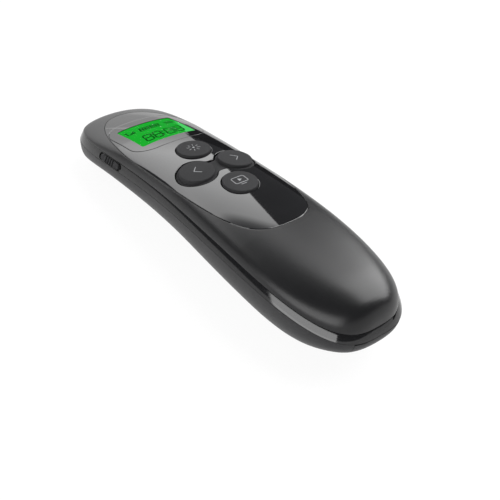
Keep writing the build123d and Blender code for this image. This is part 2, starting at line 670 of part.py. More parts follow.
def make_lcd_frame():
    """Tray that carries the display glass, notched for its ribbon."""
    outer_length, outer_width = LCD_LENGTH + 2 * LCD_FRAME_WALL, LCD_WIDTH + 2 * LCD_FRAME_WALL
    frame = on_display(outer_length, outer_width, -LCD_THICK - LCD_FRAME_FLOOR, -LCD_FRAME_DROP)
    frame = fillet(frame.edges().filter_by(Axis((0, 0, 0), tuple(DISPLAY.z_dir))), 0.8)
    frame -= on_display(LCD_LENGTH + 0.1, LCD_WIDTH + 0.1, -LCD_THICK, 1)
    notch = Pos(LCD_LENGTH / 2, 0, -LCD_FRAME_DROP) * Box(4, FLEX_WIDTH + 0.6, 2 * (LCD_THICK - LCD_FRAME_DROP))
    return frame - DISPLAY.location * notch


def ribbon(width, *points):
    """Flat ribbon: a sheet bent along a path in the XZ plane, centred on Y = 0."""
    strip = trace(FilletPolyline(*points, radius=0.6), FLEX_THICK)
    return extrude(Plane.XZ.location * strip, width / 2, both=True)


def make_lcd_flex():
    """Ribbon from the display glass down to the front board."""
    start = DISPLAY.from_local_coords(Vector(LCD_LENGTH / 2 + 0.02, 0, -1.5))
    turn = DISPLAY.from_local_coords(Vector(LCD_LENGTH / 2 + 2.0, 0, -1.7))
    rest = FRONT_BOARD_Z + BOARD_THICK + FLEX_THICK / 2
    return ribbon(FLEX_WIDTH, (start.X, start.Z), (turn.X, turn.Z), (turn.X, rest), (turn.X - 3, rest))


# ---- Keys --------------------------------------------------------------------------------------
def key_cap(plane, bottom):
    """Proud disc of a key, its face slightly domed and its rim rounded."""
    cap = cylinder_on(plane, KEY_DIAMETER, bottom, KEY_PROUD + 1)
    cap &= plane.offset(KEY_PROUD - CAP_RADIUS).location * Rot(90, 0, 0) * Sphere(CAP_RADIUS)
    rim = cap.edges().sort_by(Axis(plane.origin, plane.z_dir))[-1]
    return fillet(rim, 0.3)


def make_key(x):
    """Round key: proud cap, flange behind the bed of the inlay, and a stem over its switch."""
    plane = crown_plane(x)
    drop = crown_height(x) - crown_height(x, KEY_DIAMETER / 2 + KEY_FLANGE)
    flange_top = -BED_DEPTH - drop - SEAM
    key = key_cap(plane, flange_top)
    key += cylinder_on(plane, KEY_DIAMETER + 2 * KEY_FLANGE, flange_top - FLANGE_THICK, flange_top)
    return key + cylinder_on(plane, STEM_DIAMETER, STEM_END - plane.origin.Z, flange_top)


def make_page_rocker():
    """Two round pads on one waisted base that tilts on pins under its neck."""
    rocker = (up(OUTER_TOP, -ROCKER_SUNK) - up(OUTER_TOP, -BED_DEPTH)) & rocker_prism(0)
    for side in (-1, 1):
        plane = crown_plane(ROCKER_X, side * ROCKER_PITCH / 2)
        rocker += key_cap(plane, -1.5)
        rocker += pillar(STEM_DIAMETER, ROCKER_X, side * ROCKER_PITCH / 2, STEM_END, plane.origin.Z - 1.5)
    keel_low, keel_high = -PIVOT_DIAMETER / 2, -PIVOT_DEPTH - 1.2
    keel = Pos(0, 0, (keel_low + keel_high) / 2) * Box(ROCKER_NECK, 2.4, keel_high - keel_low)
    pins = Rot(0, 90, 0) * Cylinder(PIVOT_DIAMETER / 2, 2 * LUG_X + LUG_THICK)
    return rocker + pivot_plane().location * (keel + pins)


def key_centres():
    """Centres of the four key stems."""
    pads = [(ROCKER_X, side * ROCKER_PITCH / 2) for side in (-1, 1)]
    return [(LASER_KEY_X, 0), (SCREEN_KEY_X, 0)] + pads


# ---- Power slider --------------------------------------------------------------------------------
LEVER = (1.2, 0.9)        # length and height of the switch lever
SWITCH_FACE_Y = 14.2      # outer face of the switch body
HOOK_Y = (14.75, 15.35)   # the slider's retaining plate, inside the ring


def lever_room(y0, y1, growth=0.0, travel=0.0):
    """Box round the switch lever, grown all round and along its travel."""
    length, height = LEVER[0] + 2 * growth + travel, LEVER[1] + 2 * growth
    x, z = SLIDER_PLANE.origin.X, SLIDER_PLANE.origin.Z
    return block(x - length / 2, x + length / 2, y0, y1, z - height / 2, z + height / 2)


def make_power_slider():
    """Grooved knob in the ring, its stem, and a plate behind the slot that forks over the lever."""
    bottom = SEAM - SLIDER_DEPTH
    slider = slider_bar(SLIDER_LENGTH, SLIDER_HEIGHT, bottom, SLIDER_PROUD)
    for i in range(SLIDER_GROOVES):
        x = (i - (SLIDER_GROOVES - 1) / 2) * SLIDER_GROOVE_PITCH
        groove = Pos(x, 0, 0) * Box(SLIDER_GROOVE_WIDTH, SLIDER_HEIGHT + 1, 0.4)
        slider -= SLIDER_PLANE.offset(SLIDER_PROUD - 0.1).location * groove
    stem_length = 2.2
    slider += SLIDER_PLANE.offset(bottom + 0.1 - stem_length / 2).location * Box(
        SLIDER_STEM, SLIDER_STEM_HEIGHT, stem_length
    )
    x, z = SLIDER_PLANE.origin.X, SLIDER_PLANE.origin.Z
    slider += block(x - SLIDER_HOOK / 2, x + SLIDER_HOOK / 2, *HOOK_Y, z - 1.3, z + 1.0)
    return slider - lever_room(0, HOOK_Y[1] - 0.1, 0.05)


def make_switch_lever():
    """Lever of the slide switch; it moves with the slider."""
    return lever_room(SWITCH_FACE_Y - 0.9, HOOK_Y[1] - 0.15)


def make_slide_switch():
    """Body of the slide switch on the front board, open along its lever's travel."""
    body = block(
        SLIDER_X - 3.6, SLIDER_X + 3.6, SWITCH_FACE_Y - 2.3, SWITCH_FACE_Y,
        FRONT_BOARD_Z + BOARD_THICK, FRONT_BOARD_Z + BOARD_THICK + 3.0,
    )
    return body - lever_room(SWITCH_FACE_Y - 1.1, SWITCH_FACE_Y + 1, 0.3, SLIDER_TRAVEL)


# ---- Boards ------------------------------------------------------------------------------------
def make_main_board():
    """Board under the keys, rounded at the front to clear the crown, holed for the screw bosses."""
    outline = Pos((BOARD_TAIL_X + BOARD_NOSE_X) / 2, 0) * Rectangle(BOARD_NOSE_X - BOARD_TAIL_X, 2 * BOARD_HALF_WIDTH)
    outline = fillet(outline.vertices().group_by(Axis.X)[-1], 8.0)
    outline = fillet(outline.vertices().group_by(Axis.X)[0], 2.0)
    for x, y in boss_places():
        outline -= Pos(x, y) * Circle(BOSS_DIAMETER / 2 + 0.3)
    return extrude(Pos(0, 0, BOARD_Z) * outline, BOARD_THICK)


def make_dome_switches():
    """Four snap domes under the key stems."""
    domes = []
    for x, y in key_centres():
        dome_switch = pillar(DOME_DIAMETER, x, y, BOARD_TOP, DOME_TOP)
        domes.append(fillet(dome_switch.edges().group_by(Axis.Z)[-1], 0.45))
    return Compound(domes)


def on_board(x, y, length, width, height):
    """Small component on the main board."""
    return block(x - length / 2, x + length / 2, y - width / 2, y + width / 2, BOARD_TOP, BOARD_TOP + height)


def make_radio_module():
    """Shielded radio module with a chamfered can on its own small board."""
    can = block(-36.0, -25.0, -5.5, 5.5, BOARD_TOP + 0.6, BOARD_TOP + 2.2)
    can = chamfer(can.edges().group_by(Axis.Z)[-1], 0.3)
    return can + block(-37.5, -23.5, -6.5, 6.5, BOARD_TOP, BOARD_TOP + 0.6)


def make_controller_chip():
    """Controller in a flat square package with a row of legs on each side."""
    chip = on_board(-16.0, 0, 6.0, 6.0, 1.0)
    for i in range(6):
        along = (i - 2.5) * 0.8
        chip += on_board(-16.0 + along, 0, 0.3, 7.4, 0.2)
        chip += on_board(-16.0, along, 7.4, 0.3, 0.2)
    return chip


def make_board_parts():
    """Crystal, storage capacitors and resistors on the main board."""
    parts = [on_board(-19.0, side * 8.5, 3.2, 2.5, 0.9) for side in (-1, 1)]
    parts += [on_board(-10.5 + 1.6 * i, 9.5, 0.8, 1.6, 0.5) for i in range(4)]
    parts += [on_board(-12.0 + 1.6 * i, -10.0, 0.8, 1.6, 0.5) for i in range(4)]
    parts.append(fillet(on_board(-30.0, 9.8, 4.5, 3.0, 1.4).edges().filter_by(Axis.Z), 0.7))
    return Compound(parts)


def make_board_flex():
    """Ribbon from the main board's underside to the front board."""
    high = BOARD_Z - FLEX_THICK / 2
    low = FRONT_BOARD_Z + BOARD_THICK + FLEX_THICK / 2
    bend_x = BOARD_NOSE_X + 0.7
    return ribbon(8.0, (BOARD_NOSE_X - 3.5, high), (bend_x, high), (bend_x, low), (bend_x + 4, low))


def make_front_board():
    """Board under the display, widened at the power switch."""
    x0, x1 = FRONT_BOARD_X
    outline = Pos((x0 + x1) / 2, 0) * RectangleRounded(x1 - x0, 25.0, 1.5)
    outline += Pos(SLIDER_X, SWITCH_FACE_Y - 3) * RectangleRounded(9.6, 6.0, 0.8)
    return extrude(Pos(0, 0, FRONT_BOARD_Z) * outline, BOARD_THICK)


# ---- Cells -------------------------------------------------------------------------------------
def make_cell(side):
    """Dry cell; the left one has its nub at the tail, the right one at the nose."""
    x0, x1 = CELLS_X
    y = side * CELL_PITCH / 2
    body = (x0 + CELL_NUB, x1) if side > 0 else (x0, x1 - CELL_NUB)
    nub = (x0, x0 + CELL_NUB + 1) if side > 0 else (x1 - CELL_NUB - 1, x1)
    cell = rod(CELL_DIAMETER, *body, y, CELL_Z)
    cell = fillet(cell.edges(), 0.5)
    return cell + rod(CELL_NUB_DIAMETER, *nub, y, CELL_Z)


def make_leaf_contacts():
    """Two sprung leaves at the nose end of the cells, with tabs up to the main board."""
    back = BAY_FRONT - 0.02
    leaves = []
    for side in (-1, 1):
        y = side * CELL_PITCH / 2
        tip = CELLS_X[1] + 0.02 + CONTACT_SHEET / 2
        root = back - CONTACT_SHEET / 2
        path = Polyline((root, CELL_Z - 3.6), (tip, CELL_Z - 0.3), (tip, CELL_Z + 0.5), (root - 0.5, CELL_Z + 2.8))
        leaf = Pos(0, y, 0) * extrude(Plane.XZ.location * trace(path, CONTACT_SHEET), 3.0, both=True)
        plate = block(back - CONTACT_SHEET, back, y - 3.5, y + 3.5, CELL_Z - 3.9, BAY_TOP)
        tab = block(back - CONTACT_SHEET, back, y - 1.0, y + 1.0, BAY_TOP - 1, BOARD_Z)
        leaves.append(plate + tab + leaf)
    return Compound(leaves)


def make_bridge_contact():
    """Plate at the tail end that joins the two cells."""
    plate = block(BAY_X + 0.02, CELLS_X[0] - 0.02, -9.0, 9.0, CELL_Z - 3.5, CELL_Z + 3.0)
    return fillet(plate.edges().filter_by(Axis.X), 1.0)


def make_cell_carrier():
    """Saddle over the cells that carries the main board on four pegs."""
    half = BAY_HALF + BAY_WALL - 0.1
    carrier = block(BAY_X - BAY_WALL, BAY_FRONT + BAY_WALL, -half, half, BAY_TOP + SEAM, CARRIER_TOP)
    for side in (-1, 1):
        y = side * CELL_PITCH / 2
        carrier -= rod(CELL_DIAMETER + 2 * SLIP, BAY_X, BAY_FRONT, y, CELL_Z)
        carrier -= block(BAY_FRONT - 0.6, BAY_FRONT + 0.1, y - 1.4, y + 1.4, BAY_TOP, CARRIER_TOP + 1)
        for x in (BAY_X + 2, BAY_FRONT - 3):
            carrier += pillar(2.0, x, side * (half - 1.5), CARRIER_TOP - 0.5, BOARD_Z)
    return carrier


# ---- Laser -------------------------------------------------------------------------------------
def make_laser_barrel():
    """Brass barrel, bored at the front for its lens."""
    barrel = rod(LASER_DIAMETER, LASER_BACK_X, LASER_FRONT_X, 0, LASER_Z)
    barrel = chamfer(barrel.edges(), 0.25)
    return barrel - rod(3.2, LASER_FRONT_X - 5, LASER_FRONT_X + 1, 0, LASER_Z)


def make_laser_lens():
    """Small collimating lens in the barrel's mouth."""
    front = LASER_FRONT_X - 0.8
    lens = rod(3.2 - 0.02, front - 1.4, front + 1, 0, LASER_Z)
    return lens & (Pos(front - 4.0, 0, LASER_Z) * Rot(0, 0, 90) * Sphere(4.0))


def make_laser_board():
    """Driver board behind the barrel with two leads into it."""
    board = block(LASER_BACK_X - 7.6, LASER_BACK_X - 0.1, -2.5, 2.5, LASER_Z + 0.5, LASER_Z + 1.3)
    return board + block(LASER_BACK_X - 4.5, LASER_BACK_X - 2.5, -1.2, 1.2, LASER_Z + 1.3, LASER_Z + 2.0)


def make_laser_window():
    """Clear window in the nose, flush with the case."""
    return OUTER_LOW & rod(WINDOW_DIAMETER, NOSE_X - WINDOW_THICK + 0.02, NOSE_X + 1, 0, LASER_Z)


# ---- Receiver ----------------------------------------------------------------------------------
PLUG_X = (NOTCH_X - PLUG_ROOT, PLUG_END)


def plug_box(inset, x0, x1, z0=-PLUG_HEIGHT, z1=PLUG_HEIGHT):
    """Box along the plug, inset from its outer faces, between two heights about its middle."""
    half_height = PLUG_HEIGHT / 2 - inset
    low, high = max(z0, -half_height), min(z1, half_height)
    return block(x0, x1, inset - PLUG_WIDTH / 2, PLUG_WIDTH / 2 - inset, PLUG_Z + low, PLUG_Z + high)


def make_receiver_cap():
    """Grip of the receiver: the tail tip of the lower case, flat on top, hollow round the plug."""
    half = RECEIVER_WIDTH / 2
    cap = OUTER_LOW & block(TAIL_X - 1, NOTCH_X - SLIP / 2, -half, half, 0, RECEIVER_TOP)
    return cap - plug_box(-0.02, PLUG_X[0], NOTCH_X)


def make_plug_shell():
    """Folded sheet shell of the USB plug with its two square windows on each side."""
    shell = plug_box(0, *PLUG_X) - plug_box(PLUG_SHEET, PLUG_X[0] - 1, PLUG_X[1] + 1)
    for side in (-1, 1):
        shell -= block(PLUG_END - 8.0, PLUG_END - 5.5, side * 2.9 - 1.25, side * 2.9 + 1.25, 0, PLUG_Z + PLUG_HEIGHT)
    return shell


def make_receiver_tongue():
    """Plastic tongue that carries the contacts."""
    return plug_box(PLUG_SHEET + 0.02, NOTCH_X + 6.0, PLUG_END - 0.4, z1=0)


def make_receiver_pins():
    """Four contact strips on the tongue."""
    pins = []
    for y in (-3.5, -1.0, 1.0, 3.5):
        pins.append(block(NOTCH_X + 9.0, PLUG_END - 1.2, y - 0.5, y + 0.5, PLUG_Z, PLUG_Z + 0.15))
    return Compound(pins)


def make_receiver_board():
    """Small board of the receiver with its chip, behind the tongue."""
    board = plug_box(PLUG_SHEET + 0.05, PLUG_X[0] + 0.3, NOTCH_X + 5.9, -0.9, -0.1)
    return board + block(NOTCH_X - 1.0, NOTCH_X + 3.0, -2.0, 2.0, PLUG_Z - 0.1, PLUG_Z + 0.8)


PIECES = {
    "top_cover": make_top_cover,
    "trim_ring": make_trim_ring,
    "bottom_cover": make_bottom_cover,
    "front_panel": make_front_panel,
    "display_lens": make_display_lens,
    "lcd_glass": make_lcd_glass,
    "lcd_frame": make_lcd_frame,
    "lcd_flex": make_lcd_flex,
    "laser_button": lambda: make_key(LASER_KEY_X),
    "screen_button": lambda: make_key(SCREEN_KEY_X),
    "page_rocker": make_page_rocker,
    "dome_switches": make_dome_switches,
    "main_board": make_main_board,
    "radio_module": make_radio_module,
    "controller_chip": make_controller_chip,
    "board_parts": make_board_parts,
    "board_flex": make_board_flex,
    "front_board": make_front_board,
    "slide_switch": make_slide_switch,
    "switch_lever": make_switch_lever,
    "power_slider": make_power_slider,
    "cell_carrier": make_cell_carrier,
    "battery_left": lambda: make_cell(1),
    "battery_right": lambda: make_cell(-1),
    "leaf_contacts": make_leaf_contacts,
    "bridge_contact": make_bridge_contact,
    "battery_door": make_battery_door,
    "case_screws": make_case_screws,
    "laser_barrel": make_laser_barrel,
    "laser_lens": make_laser_lens,
    "laser_board": make_laser_board,
    "laser_window": make_laser_window,
    "receiver_cap": make_receiver_cap,
    "receiver_plug_shell": make_plug_shell,
    "receiver_tongue": make_receiver_tongue,
    "receiver_pins": make_receiver_pins,
    "receiver_board": make_receiver_board,
}

if __name__ == "__main__":
    os.makedirs("parts", exist_ok=True)
    for name, make in PIECES.items():
        piece = make()
        piece.label = name
        export_step(piece, f"parts/{name}.step")
        print(f"{name}: {piece.volume:.1f} mm3, {len(piece.solids())} solid(s), valid {piece.is_valid}")
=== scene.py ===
"""Dressed model of a handheld wireless clicker for slide shows.

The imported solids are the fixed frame. The pieces that show are surfaces worked out with numpy from
the solids' own curves, or copies of the solids with exact surface normals; the inner solids stay.
Sizes are in millimetres and turned to metres when a mesh is made, but the studio's are in metres.

Axes: X runs from the tail to the nose, Y to the left side, Z up; the belly stands on Z = 0.
"""

import json
import logging
from collections.abc import Callable
from dataclasses import dataclass, field, replace
from enum import Enum
from functools import cached_property
from math import radians

import bpy
import numpy as np
from mathutils import Matrix, Vector
from mathutils.geometry import delaunay_2d_cdt

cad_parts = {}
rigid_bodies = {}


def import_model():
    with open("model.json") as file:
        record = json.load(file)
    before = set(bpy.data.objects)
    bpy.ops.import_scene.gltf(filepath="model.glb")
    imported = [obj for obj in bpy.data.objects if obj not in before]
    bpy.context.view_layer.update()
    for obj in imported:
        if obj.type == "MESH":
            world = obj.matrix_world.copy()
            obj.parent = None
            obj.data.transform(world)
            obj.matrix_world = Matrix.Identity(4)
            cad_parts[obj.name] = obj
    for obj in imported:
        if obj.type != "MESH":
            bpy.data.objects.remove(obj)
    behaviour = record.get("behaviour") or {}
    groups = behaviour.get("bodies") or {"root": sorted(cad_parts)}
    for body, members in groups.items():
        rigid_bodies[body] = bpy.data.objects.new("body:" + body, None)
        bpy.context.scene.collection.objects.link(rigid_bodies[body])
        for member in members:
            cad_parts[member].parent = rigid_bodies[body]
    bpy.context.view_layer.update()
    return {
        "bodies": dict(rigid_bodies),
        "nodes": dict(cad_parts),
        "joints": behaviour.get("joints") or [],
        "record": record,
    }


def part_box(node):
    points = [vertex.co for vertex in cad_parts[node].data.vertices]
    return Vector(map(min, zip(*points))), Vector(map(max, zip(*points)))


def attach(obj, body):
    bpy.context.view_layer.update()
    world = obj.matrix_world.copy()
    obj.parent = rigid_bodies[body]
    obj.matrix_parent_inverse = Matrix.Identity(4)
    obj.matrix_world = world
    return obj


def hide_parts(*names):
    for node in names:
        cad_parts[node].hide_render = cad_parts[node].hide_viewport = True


LOG = logging.getLogger("clicker")
Array = np.ndarray
MM = 0.001
LOOKUP_STEPS = 3000  # steps per span when a height is looked up on a curve
ROW_PITCH = 0.866  # height of an even triangle whose side is 1
CLEAR_OF_BORDER = 0.45  # share of a fill's spacing that stays free along its loops
NO_INNER_POINTS = 50.0  # a spacing so wide that a small loop is filled from its own points
NEAR_SKIN = 0.05  # a solid's corner this near the skin, in millimetres, may lie on it
ALIGNED = 0.9  # cosine of about 25 degrees
WAVE_PHASE = 20  # a wave texture's phase, in radians, per unit of its coordinate
WHITE = (1, 1, 1, 1)


# ---- Curves and surfaces of the case -------------------------------------------------------------
def cubic(weights_at: Array, p0: Array, p1: Array, p2: Array, p3: Array) -> Array:
    """Cubic Bezier: (1-t)^3 p0 + 3 (1-t)^2 t p1 + 3 (1-t) t^2 p2 + t^3 p3.

    Args:
        weights_at: Parameter t, from 0 to 1, of any shape.
        p0, p1, p2, p3: Control values, of shapes that fit t.

    Returns:
        The curve's values, in the shape that all of them share.
    """
    t = weights_at
    s = 1 - t
    return s**3 * p0 + 3 * s * s * t * p1 + 3 * s * t * t * p2 + t**3 * p3


@dataclass(frozen=True)
class Profile:
    """Smooth plane curve through nodes (x, y, heading in degrees, handle before, handle after)."""

    nodes: tuple[tuple[float, float, float, float, float], ...]

    def spans(self) -> Array:
        """Control points of the cubic spans, as (span, 4, 2).

        Returns:
            The points of every span.
        """
        n = np.array(self.nodes)
        heading = np.radians(n[:, 2])
        course = np.stack([np.cos(heading), np.sin(heading)], axis=1)
        start, end = n[:-1, :2], n[1:, :2]
        leave = start + n[:-1, 4:5] * course[:-1]
        reach = end - n[1:, 3:4] * course[1:]
        return np.stack([start, leave, reach, end], axis=1)

    def trace(self, steps: int) -> Array:
        """Points along the whole curve.

        Args:
            steps: Steps per span, evenly spaced in the span's parameter.

        Returns:
            Points (n, 2), both ends included.
        """
        t = np.linspace(0, 1, steps + 1)[:, None]
        runs = [cubic(t, *span) for span in self.spans()]
        return np.concatenate([run[:-1] for run in runs[:-1]] + runs[-1:])

    @cached_property
    def table(self) -> Array:
        """Dense points for looking heights up."""
        return self.trace(LOOKUP_STEPS)

    def at(self, x: Array) -> Array:
        """Height of the curve at x."""
        return np.interp(x, self.table[:, 0], self.table[:, 1])

    def inset(self, depth: float) -> "Profile":
        """Parallel curve whose handles shrink or grow with their chords.

        Args:
            depth: How far each node moves to the right of the direction of travel.

        Returns:
            The moved curve.
        """
        n = np.array(self.nodes)
        heading = np.radians(n[:, 2])
        moved = n[:, :2] + depth * np.stack([np.sin(heading), -np.cos(heading)], axis=1)
        ratio = np.hypot(*np.diff(moved, axis=0).T) / np.hypot(*np.diff(n[:, :2], axis=0).T)
        before, after = np.append(1.0, ratio), np.append(ratio, 1.0)
        rows = np.column_stack([moved, n[:, 2], n[:, 3] * before, n[:, 4] * after])
        return Profile(tuple(map(tuple, rows)))

    def ending_at(self, first: float, last: float) -> "Profile":
        """The same curve with its two end nodes at other heights."""
        head, tail = self.nodes[0], self.nodes[-1]
        return Profile(((head[0], first, *head[2:]), *self.nodes[1:-1], (tail[0], last, *tail[2:])))


@dataclass(frozen=True)
class Dome:
    """Half of the case's skin: cubic quarter-sections between an edge line and a centre line.

    At x, with half-width w, foot f and top p, the section's control points across and up are
    (w, f), (w, f + full (p - f)), (flat w, p), (0, p). turn is -1 for the upper skin and 1 for the
    lower one, so that normals leave the case.
    """

    outline: Profile
    edge: Profile
    peak: Profile
    fullness: tuple[tuple[float, float], ...]
    flatness: float
    turn: float

    def section(self, x: Array) -> tuple[Array, Array, Array, Array]:
        """Cross-section of the skin.

        Args:
            x: Places along the case.

        Returns:
            Half-width, foot, shoulder height and top there.
        """
        width, foot, top = self.outline.at(x), self.edge.at(x), self.peak.at(x)
        full = np.interp(x, *np.array(self.fullness).T)
        return width, foot, foot + full * (top - foot), top

    def point(self, x: Array, tau: Array) -> Array:
        """Point on the left half.

        Args:
            x: Places along the case.
            tau: Section parameter, from the edge (0) to the centre line (1).

        Returns:
            Points (..., 3).
        """
        width, foot, shoulder, top = self.section(x)
        across = cubic(tau, width, width, self.flatness * width, 0 * width)
        height = cubic(tau, foot, shoulder, top, top)
        return np.stack(np.broadcast_arrays(x, across, height), axis=-1)

    def normal(self, x: Array, tau: Array) -> Array:
        """Unit normal of the left half: the cross product of the two central differences.

        Args:
            x: Places along the case.
            tau: Section parameter, of a shape that fits x.

        Returns:
            Unit normals (..., 3), leaving the case.
        """
        step = 1e-3
        along = self.point(x + step, tau) - self.point(x - step, tau)
        across = self.point(x, np.clip(tau + step, 0, 1)) - self.point(x, np.clip(tau - step, 0, 1))
        n = self.turn * np.cross(along, across)
        n /= np.linalg.norm(n, axis=-1, keepdims=True) + 1e-12
        return n

    def tau_over(self, x: Array, across: Array, halvings: int = 30) -> Array:
        """Section parameter where the skin is a distance from the centre line, found by halving.

        Args:
            x: Places along the case.
            across: Distances from the centre line, of the same shape.
            halvings: How often the range from 0 to 1 is halved.

        Returns:
            The parameter tau.
        """
        width = self.outline.at(x)
        low, high = np.zeros(np.shape(x + across)), np.ones(np.shape(x + across))
        for _ in range(halvings):
            middle = (low + high) / 2
            outside = cubic(middle, width, width, self.flatness * width, 0 * width) > across
            low, high = np.where(outside, middle, low), np.where(outside, high, middle)
        return low

    def height(self, x: Array, y: Array) -> Array:
        """Height of the skin over a point."""
        _, foot, shoulder, top = self.section(x)
        return cubic(self.tau_over(x, np.abs(y)), foot, shoulder, top, top)

    def upright(self, x: Array, y: Array) -> Array:
        """Unit normal over a point: (-dz/dx, -dz/dy, 1) made unit, from central differences.

        Args:
            x, y: Places in plan, of one shape.

        Returns:
            Unit normals (..., 3) that point upwards.
        """
        step = 0.02
        slope_x = (self.height(x + step, y) - self.height(x - step, y)) / (2 * step)
        slope_y = (self.height(x, y + step) - self.height(x, y - step)) / (2 * step)
        n = np.stack([-slope_x, -slope_y, np.ones_like(slope_x)], axis=-1)
        return n / np.linalg.norm(n, axis=-1, keepdims=True)

    def nearest(self, points: Array, samples: int = 96) -> tuple[Array, Array]:
        """Nearest place of the skin to each point, in its own cross-section.

        Args:
            points: Points (n, 3), either side.
            samples: Places tried from edge to centre, before a straight-line refinement.

        Returns:
            The unit normals there, mirrored for the right side, and the distances.
        """
        tau = np.linspace(0, 1, samples + 1)
        x, y, z = points[:, 0:1], np.abs(points[:, 1:2]), points[:, 2:3]
        ring = self.point(x, tau[None])
        gap = (ring[..., 1] - y) ** 2 + (ring[..., 2] - z) ** 2
        best = np.clip(gap.argmin(axis=1), 1, samples - 1)
        rows = np.arange(len(points))
        a, b, c = gap[rows, best - 1], gap[rows, best], gap[rows, best + 1]
        shift = np.clip(0.5 * (a - c) / (a - 2 * b + c + 1e-12), -1, 1)
        place = np.clip((best + shift) / samples, 0, 1)
        spot = self.point(points[:, 0], place)
        distance = np.hypot(spot[:, 1] - y[:, 0], spot[:, 2] - z[:, 0])
        n = self.normal(points[:, 0], place)
        n[:, 1] *= np.where(points[:, 1] < 0, -1, 1)
        return n, distance


@dataclass(frozen=True)
class CaseForm:
    """Guiding curves that every outside piece of the case shares.

    lean is how far the trim ring's face leans in from its lower to its upper edge, land is the
    width of its flat upper edge, and seam is the gap between two pieces.
    """

    tail: float = -66.0
    nose: float = 66.0
    lean: float = 1.27
    land: float = 0.85
    seam: float = 0.06
    outline: Profile = Profile((
        (-66.0, 0, 90, 0, 7.4), (-30.4, 18.65, 0, 36.0, 17.8), (14.0, 17.35, 0, 12.7, 15.1),
        (43.8, 17.8, 0, 11.8, 21.6), (66.0, 0, -90, 10.3, 0),
    ))
    top_fullness: tuple[tuple[float, float], ...] = (
        (-66, 0.44), (-46, 0.52), (-28, 0.69), (10, 0.76), (36, 0.70), (62, 0.18),
    )
    top_flatness: float = 0.62
    low_fullness: tuple[tuple[float, float], ...] = (
        (-66, 0.62), (0, 0.68), (30, 0.95), (66, 0.95),
    )
    low_flatness: float = 0.68

    def parting(self, tail: float, palm: float, nose: float) -> Profile:
        """Side view of a parting line.

        Args:
            tail, palm, nose: Heights above the ring's lower edge at the curve's three nodes.

        Returns:
            The curve of height over x.
        """
        return Profile((
            (self.tail, 11.5 + tail, 11.4, 0, 17), (-20.0, 15.66 + palm, 0, 13, 27),
            (self.nose, 8.34 + nose, -6.9, 30.7, 0),
        ))

    @cached_property
    def ring_low(self) -> Profile:
        """Lower edge of the trim ring, seen from the side."""
        return self.parting(0, 0, 0)

    @cached_property
    def ring_high(self) -> Profile:
        """Upper edge of the trim ring, seen from the side."""
        return self.parting(2.03, 2.16, 2.88)

    def crown_at(self, depth: float) -> Dome:
        """Skin of the upper cover, or the skin that lies inside it.

        Args:
            depth: How far inside.

        Returns:
            The dome, whose ends stand on the ring's upper edge.
        """
        rim = self.ring_high
        first, last = self.tail + self.lean, self.nose - self.lean
        peak = Profile((
            (first, 0, 90, 0, 6.6), (-52.0, 22.8, 3.5, 9.5, 6), (-10.6, 24.15, 0, 16, 27),
            (61.0, 13.75, -16.5, 25, 1.8), (last, 0, -90, 1.2, 0),
        )).ending_at(float(rim.at(first)), float(rim.at(last))).inset(depth)
        peak = peak.ending_at(*(float(rim.at(peak.nodes[i][0])) for i in (0, -1)))
        outline = self.outline.inset(self.lean + depth)
        return Dome(outline, rim, peak, self.top_fullness, self.top_flatness, -1)

    @cached_property
    def crown(self) -> Dome:
        """Skin of the upper cover."""
        return self.crown_at(0.0)

    @cached_property
    def belly(self) -> Dome:
        """Skin of the lower cover.

        Returns:
            Dome of the cover's skin.
        """
        rim = self.ring_low
        keel = Profile((
            (self.tail, float(rim.at(self.tail)), -90, 0, 5.0), (-57.0, 3.1, -22, 4, 5),
            (-45.0, -0.25, 0, 6, 28), (30.0, 4.5, 0, 22, 20), (60.0, -0.25, 0, 4.5, 3),
            (self.nose, float(rim.at(self.nose)), 90, 5, 0),
        ))
        return Dome(self.outline, rim, keel, self.low_fullness, self.low_flatness, 1)

    def crown_frame(self, x: float, y: float = 0.0) -> Array:
        """Place on the crown.

        Args:
            x, y: The place in plan.

        Returns:
            A 4 x 4 matrix with Z square to the skin and X towards the nose.
        """
        n = self.crown.upright(np.array(x), np.array(y))
        across = np.cross(n, [1.0, 0, 0])
        across /= np.linalg.norm(across)
        frame = np.eye(4)
        frame[:3, 0], frame[:3, 1], frame[:3, 2] = np.cross(across, n), across, n
        frame[:3, 3] = x, y, float(self.crown.height(np.array(x), np.array(y)))
        return frame


# ---- Meshes --------------------------------------------------------------------------------------
def placed(frame: Array, points: Array) -> Array:
    """Points (..., 3) carried by a 4 x 4 frame."""
    return points @ frame[:3, :3].T + frame[:3, 3]


def inside(points: Array, loops: list[Array]) -> Array:
    """Which points lie inside a set of loops: each crossing of a ray towards +X flips the answer.

    Args:
        points: Points (n, 2).
        loops: Closed loops, each (m, 2); a loop inside another is a hole.

    Returns:
        One truth value per point.
    """
    answer = np.zeros(len(points), dtype=bool)
    x, y = points[:, 0:1], points[:, 1:2]
    for loop in loops:
        a, b = loop, np.roll(loop, -1, axis=0)
        over = (a[:, 1][None] > y) != (b[:, 1][None] > y)
        rise = np.where(np.abs(b[:, 1] - a[:, 1]) < 1e-12, 1e-12, b[:, 1] - a[:, 1])
        slope = (b[:, 0] - a[:, 0]) / rise
        cross = a[:, 0][None] + (y - a[:, 1][None]) * slope[None]
        answer ^= (over & (cross > x)).sum(axis=1) % 2 == 1
    return answer


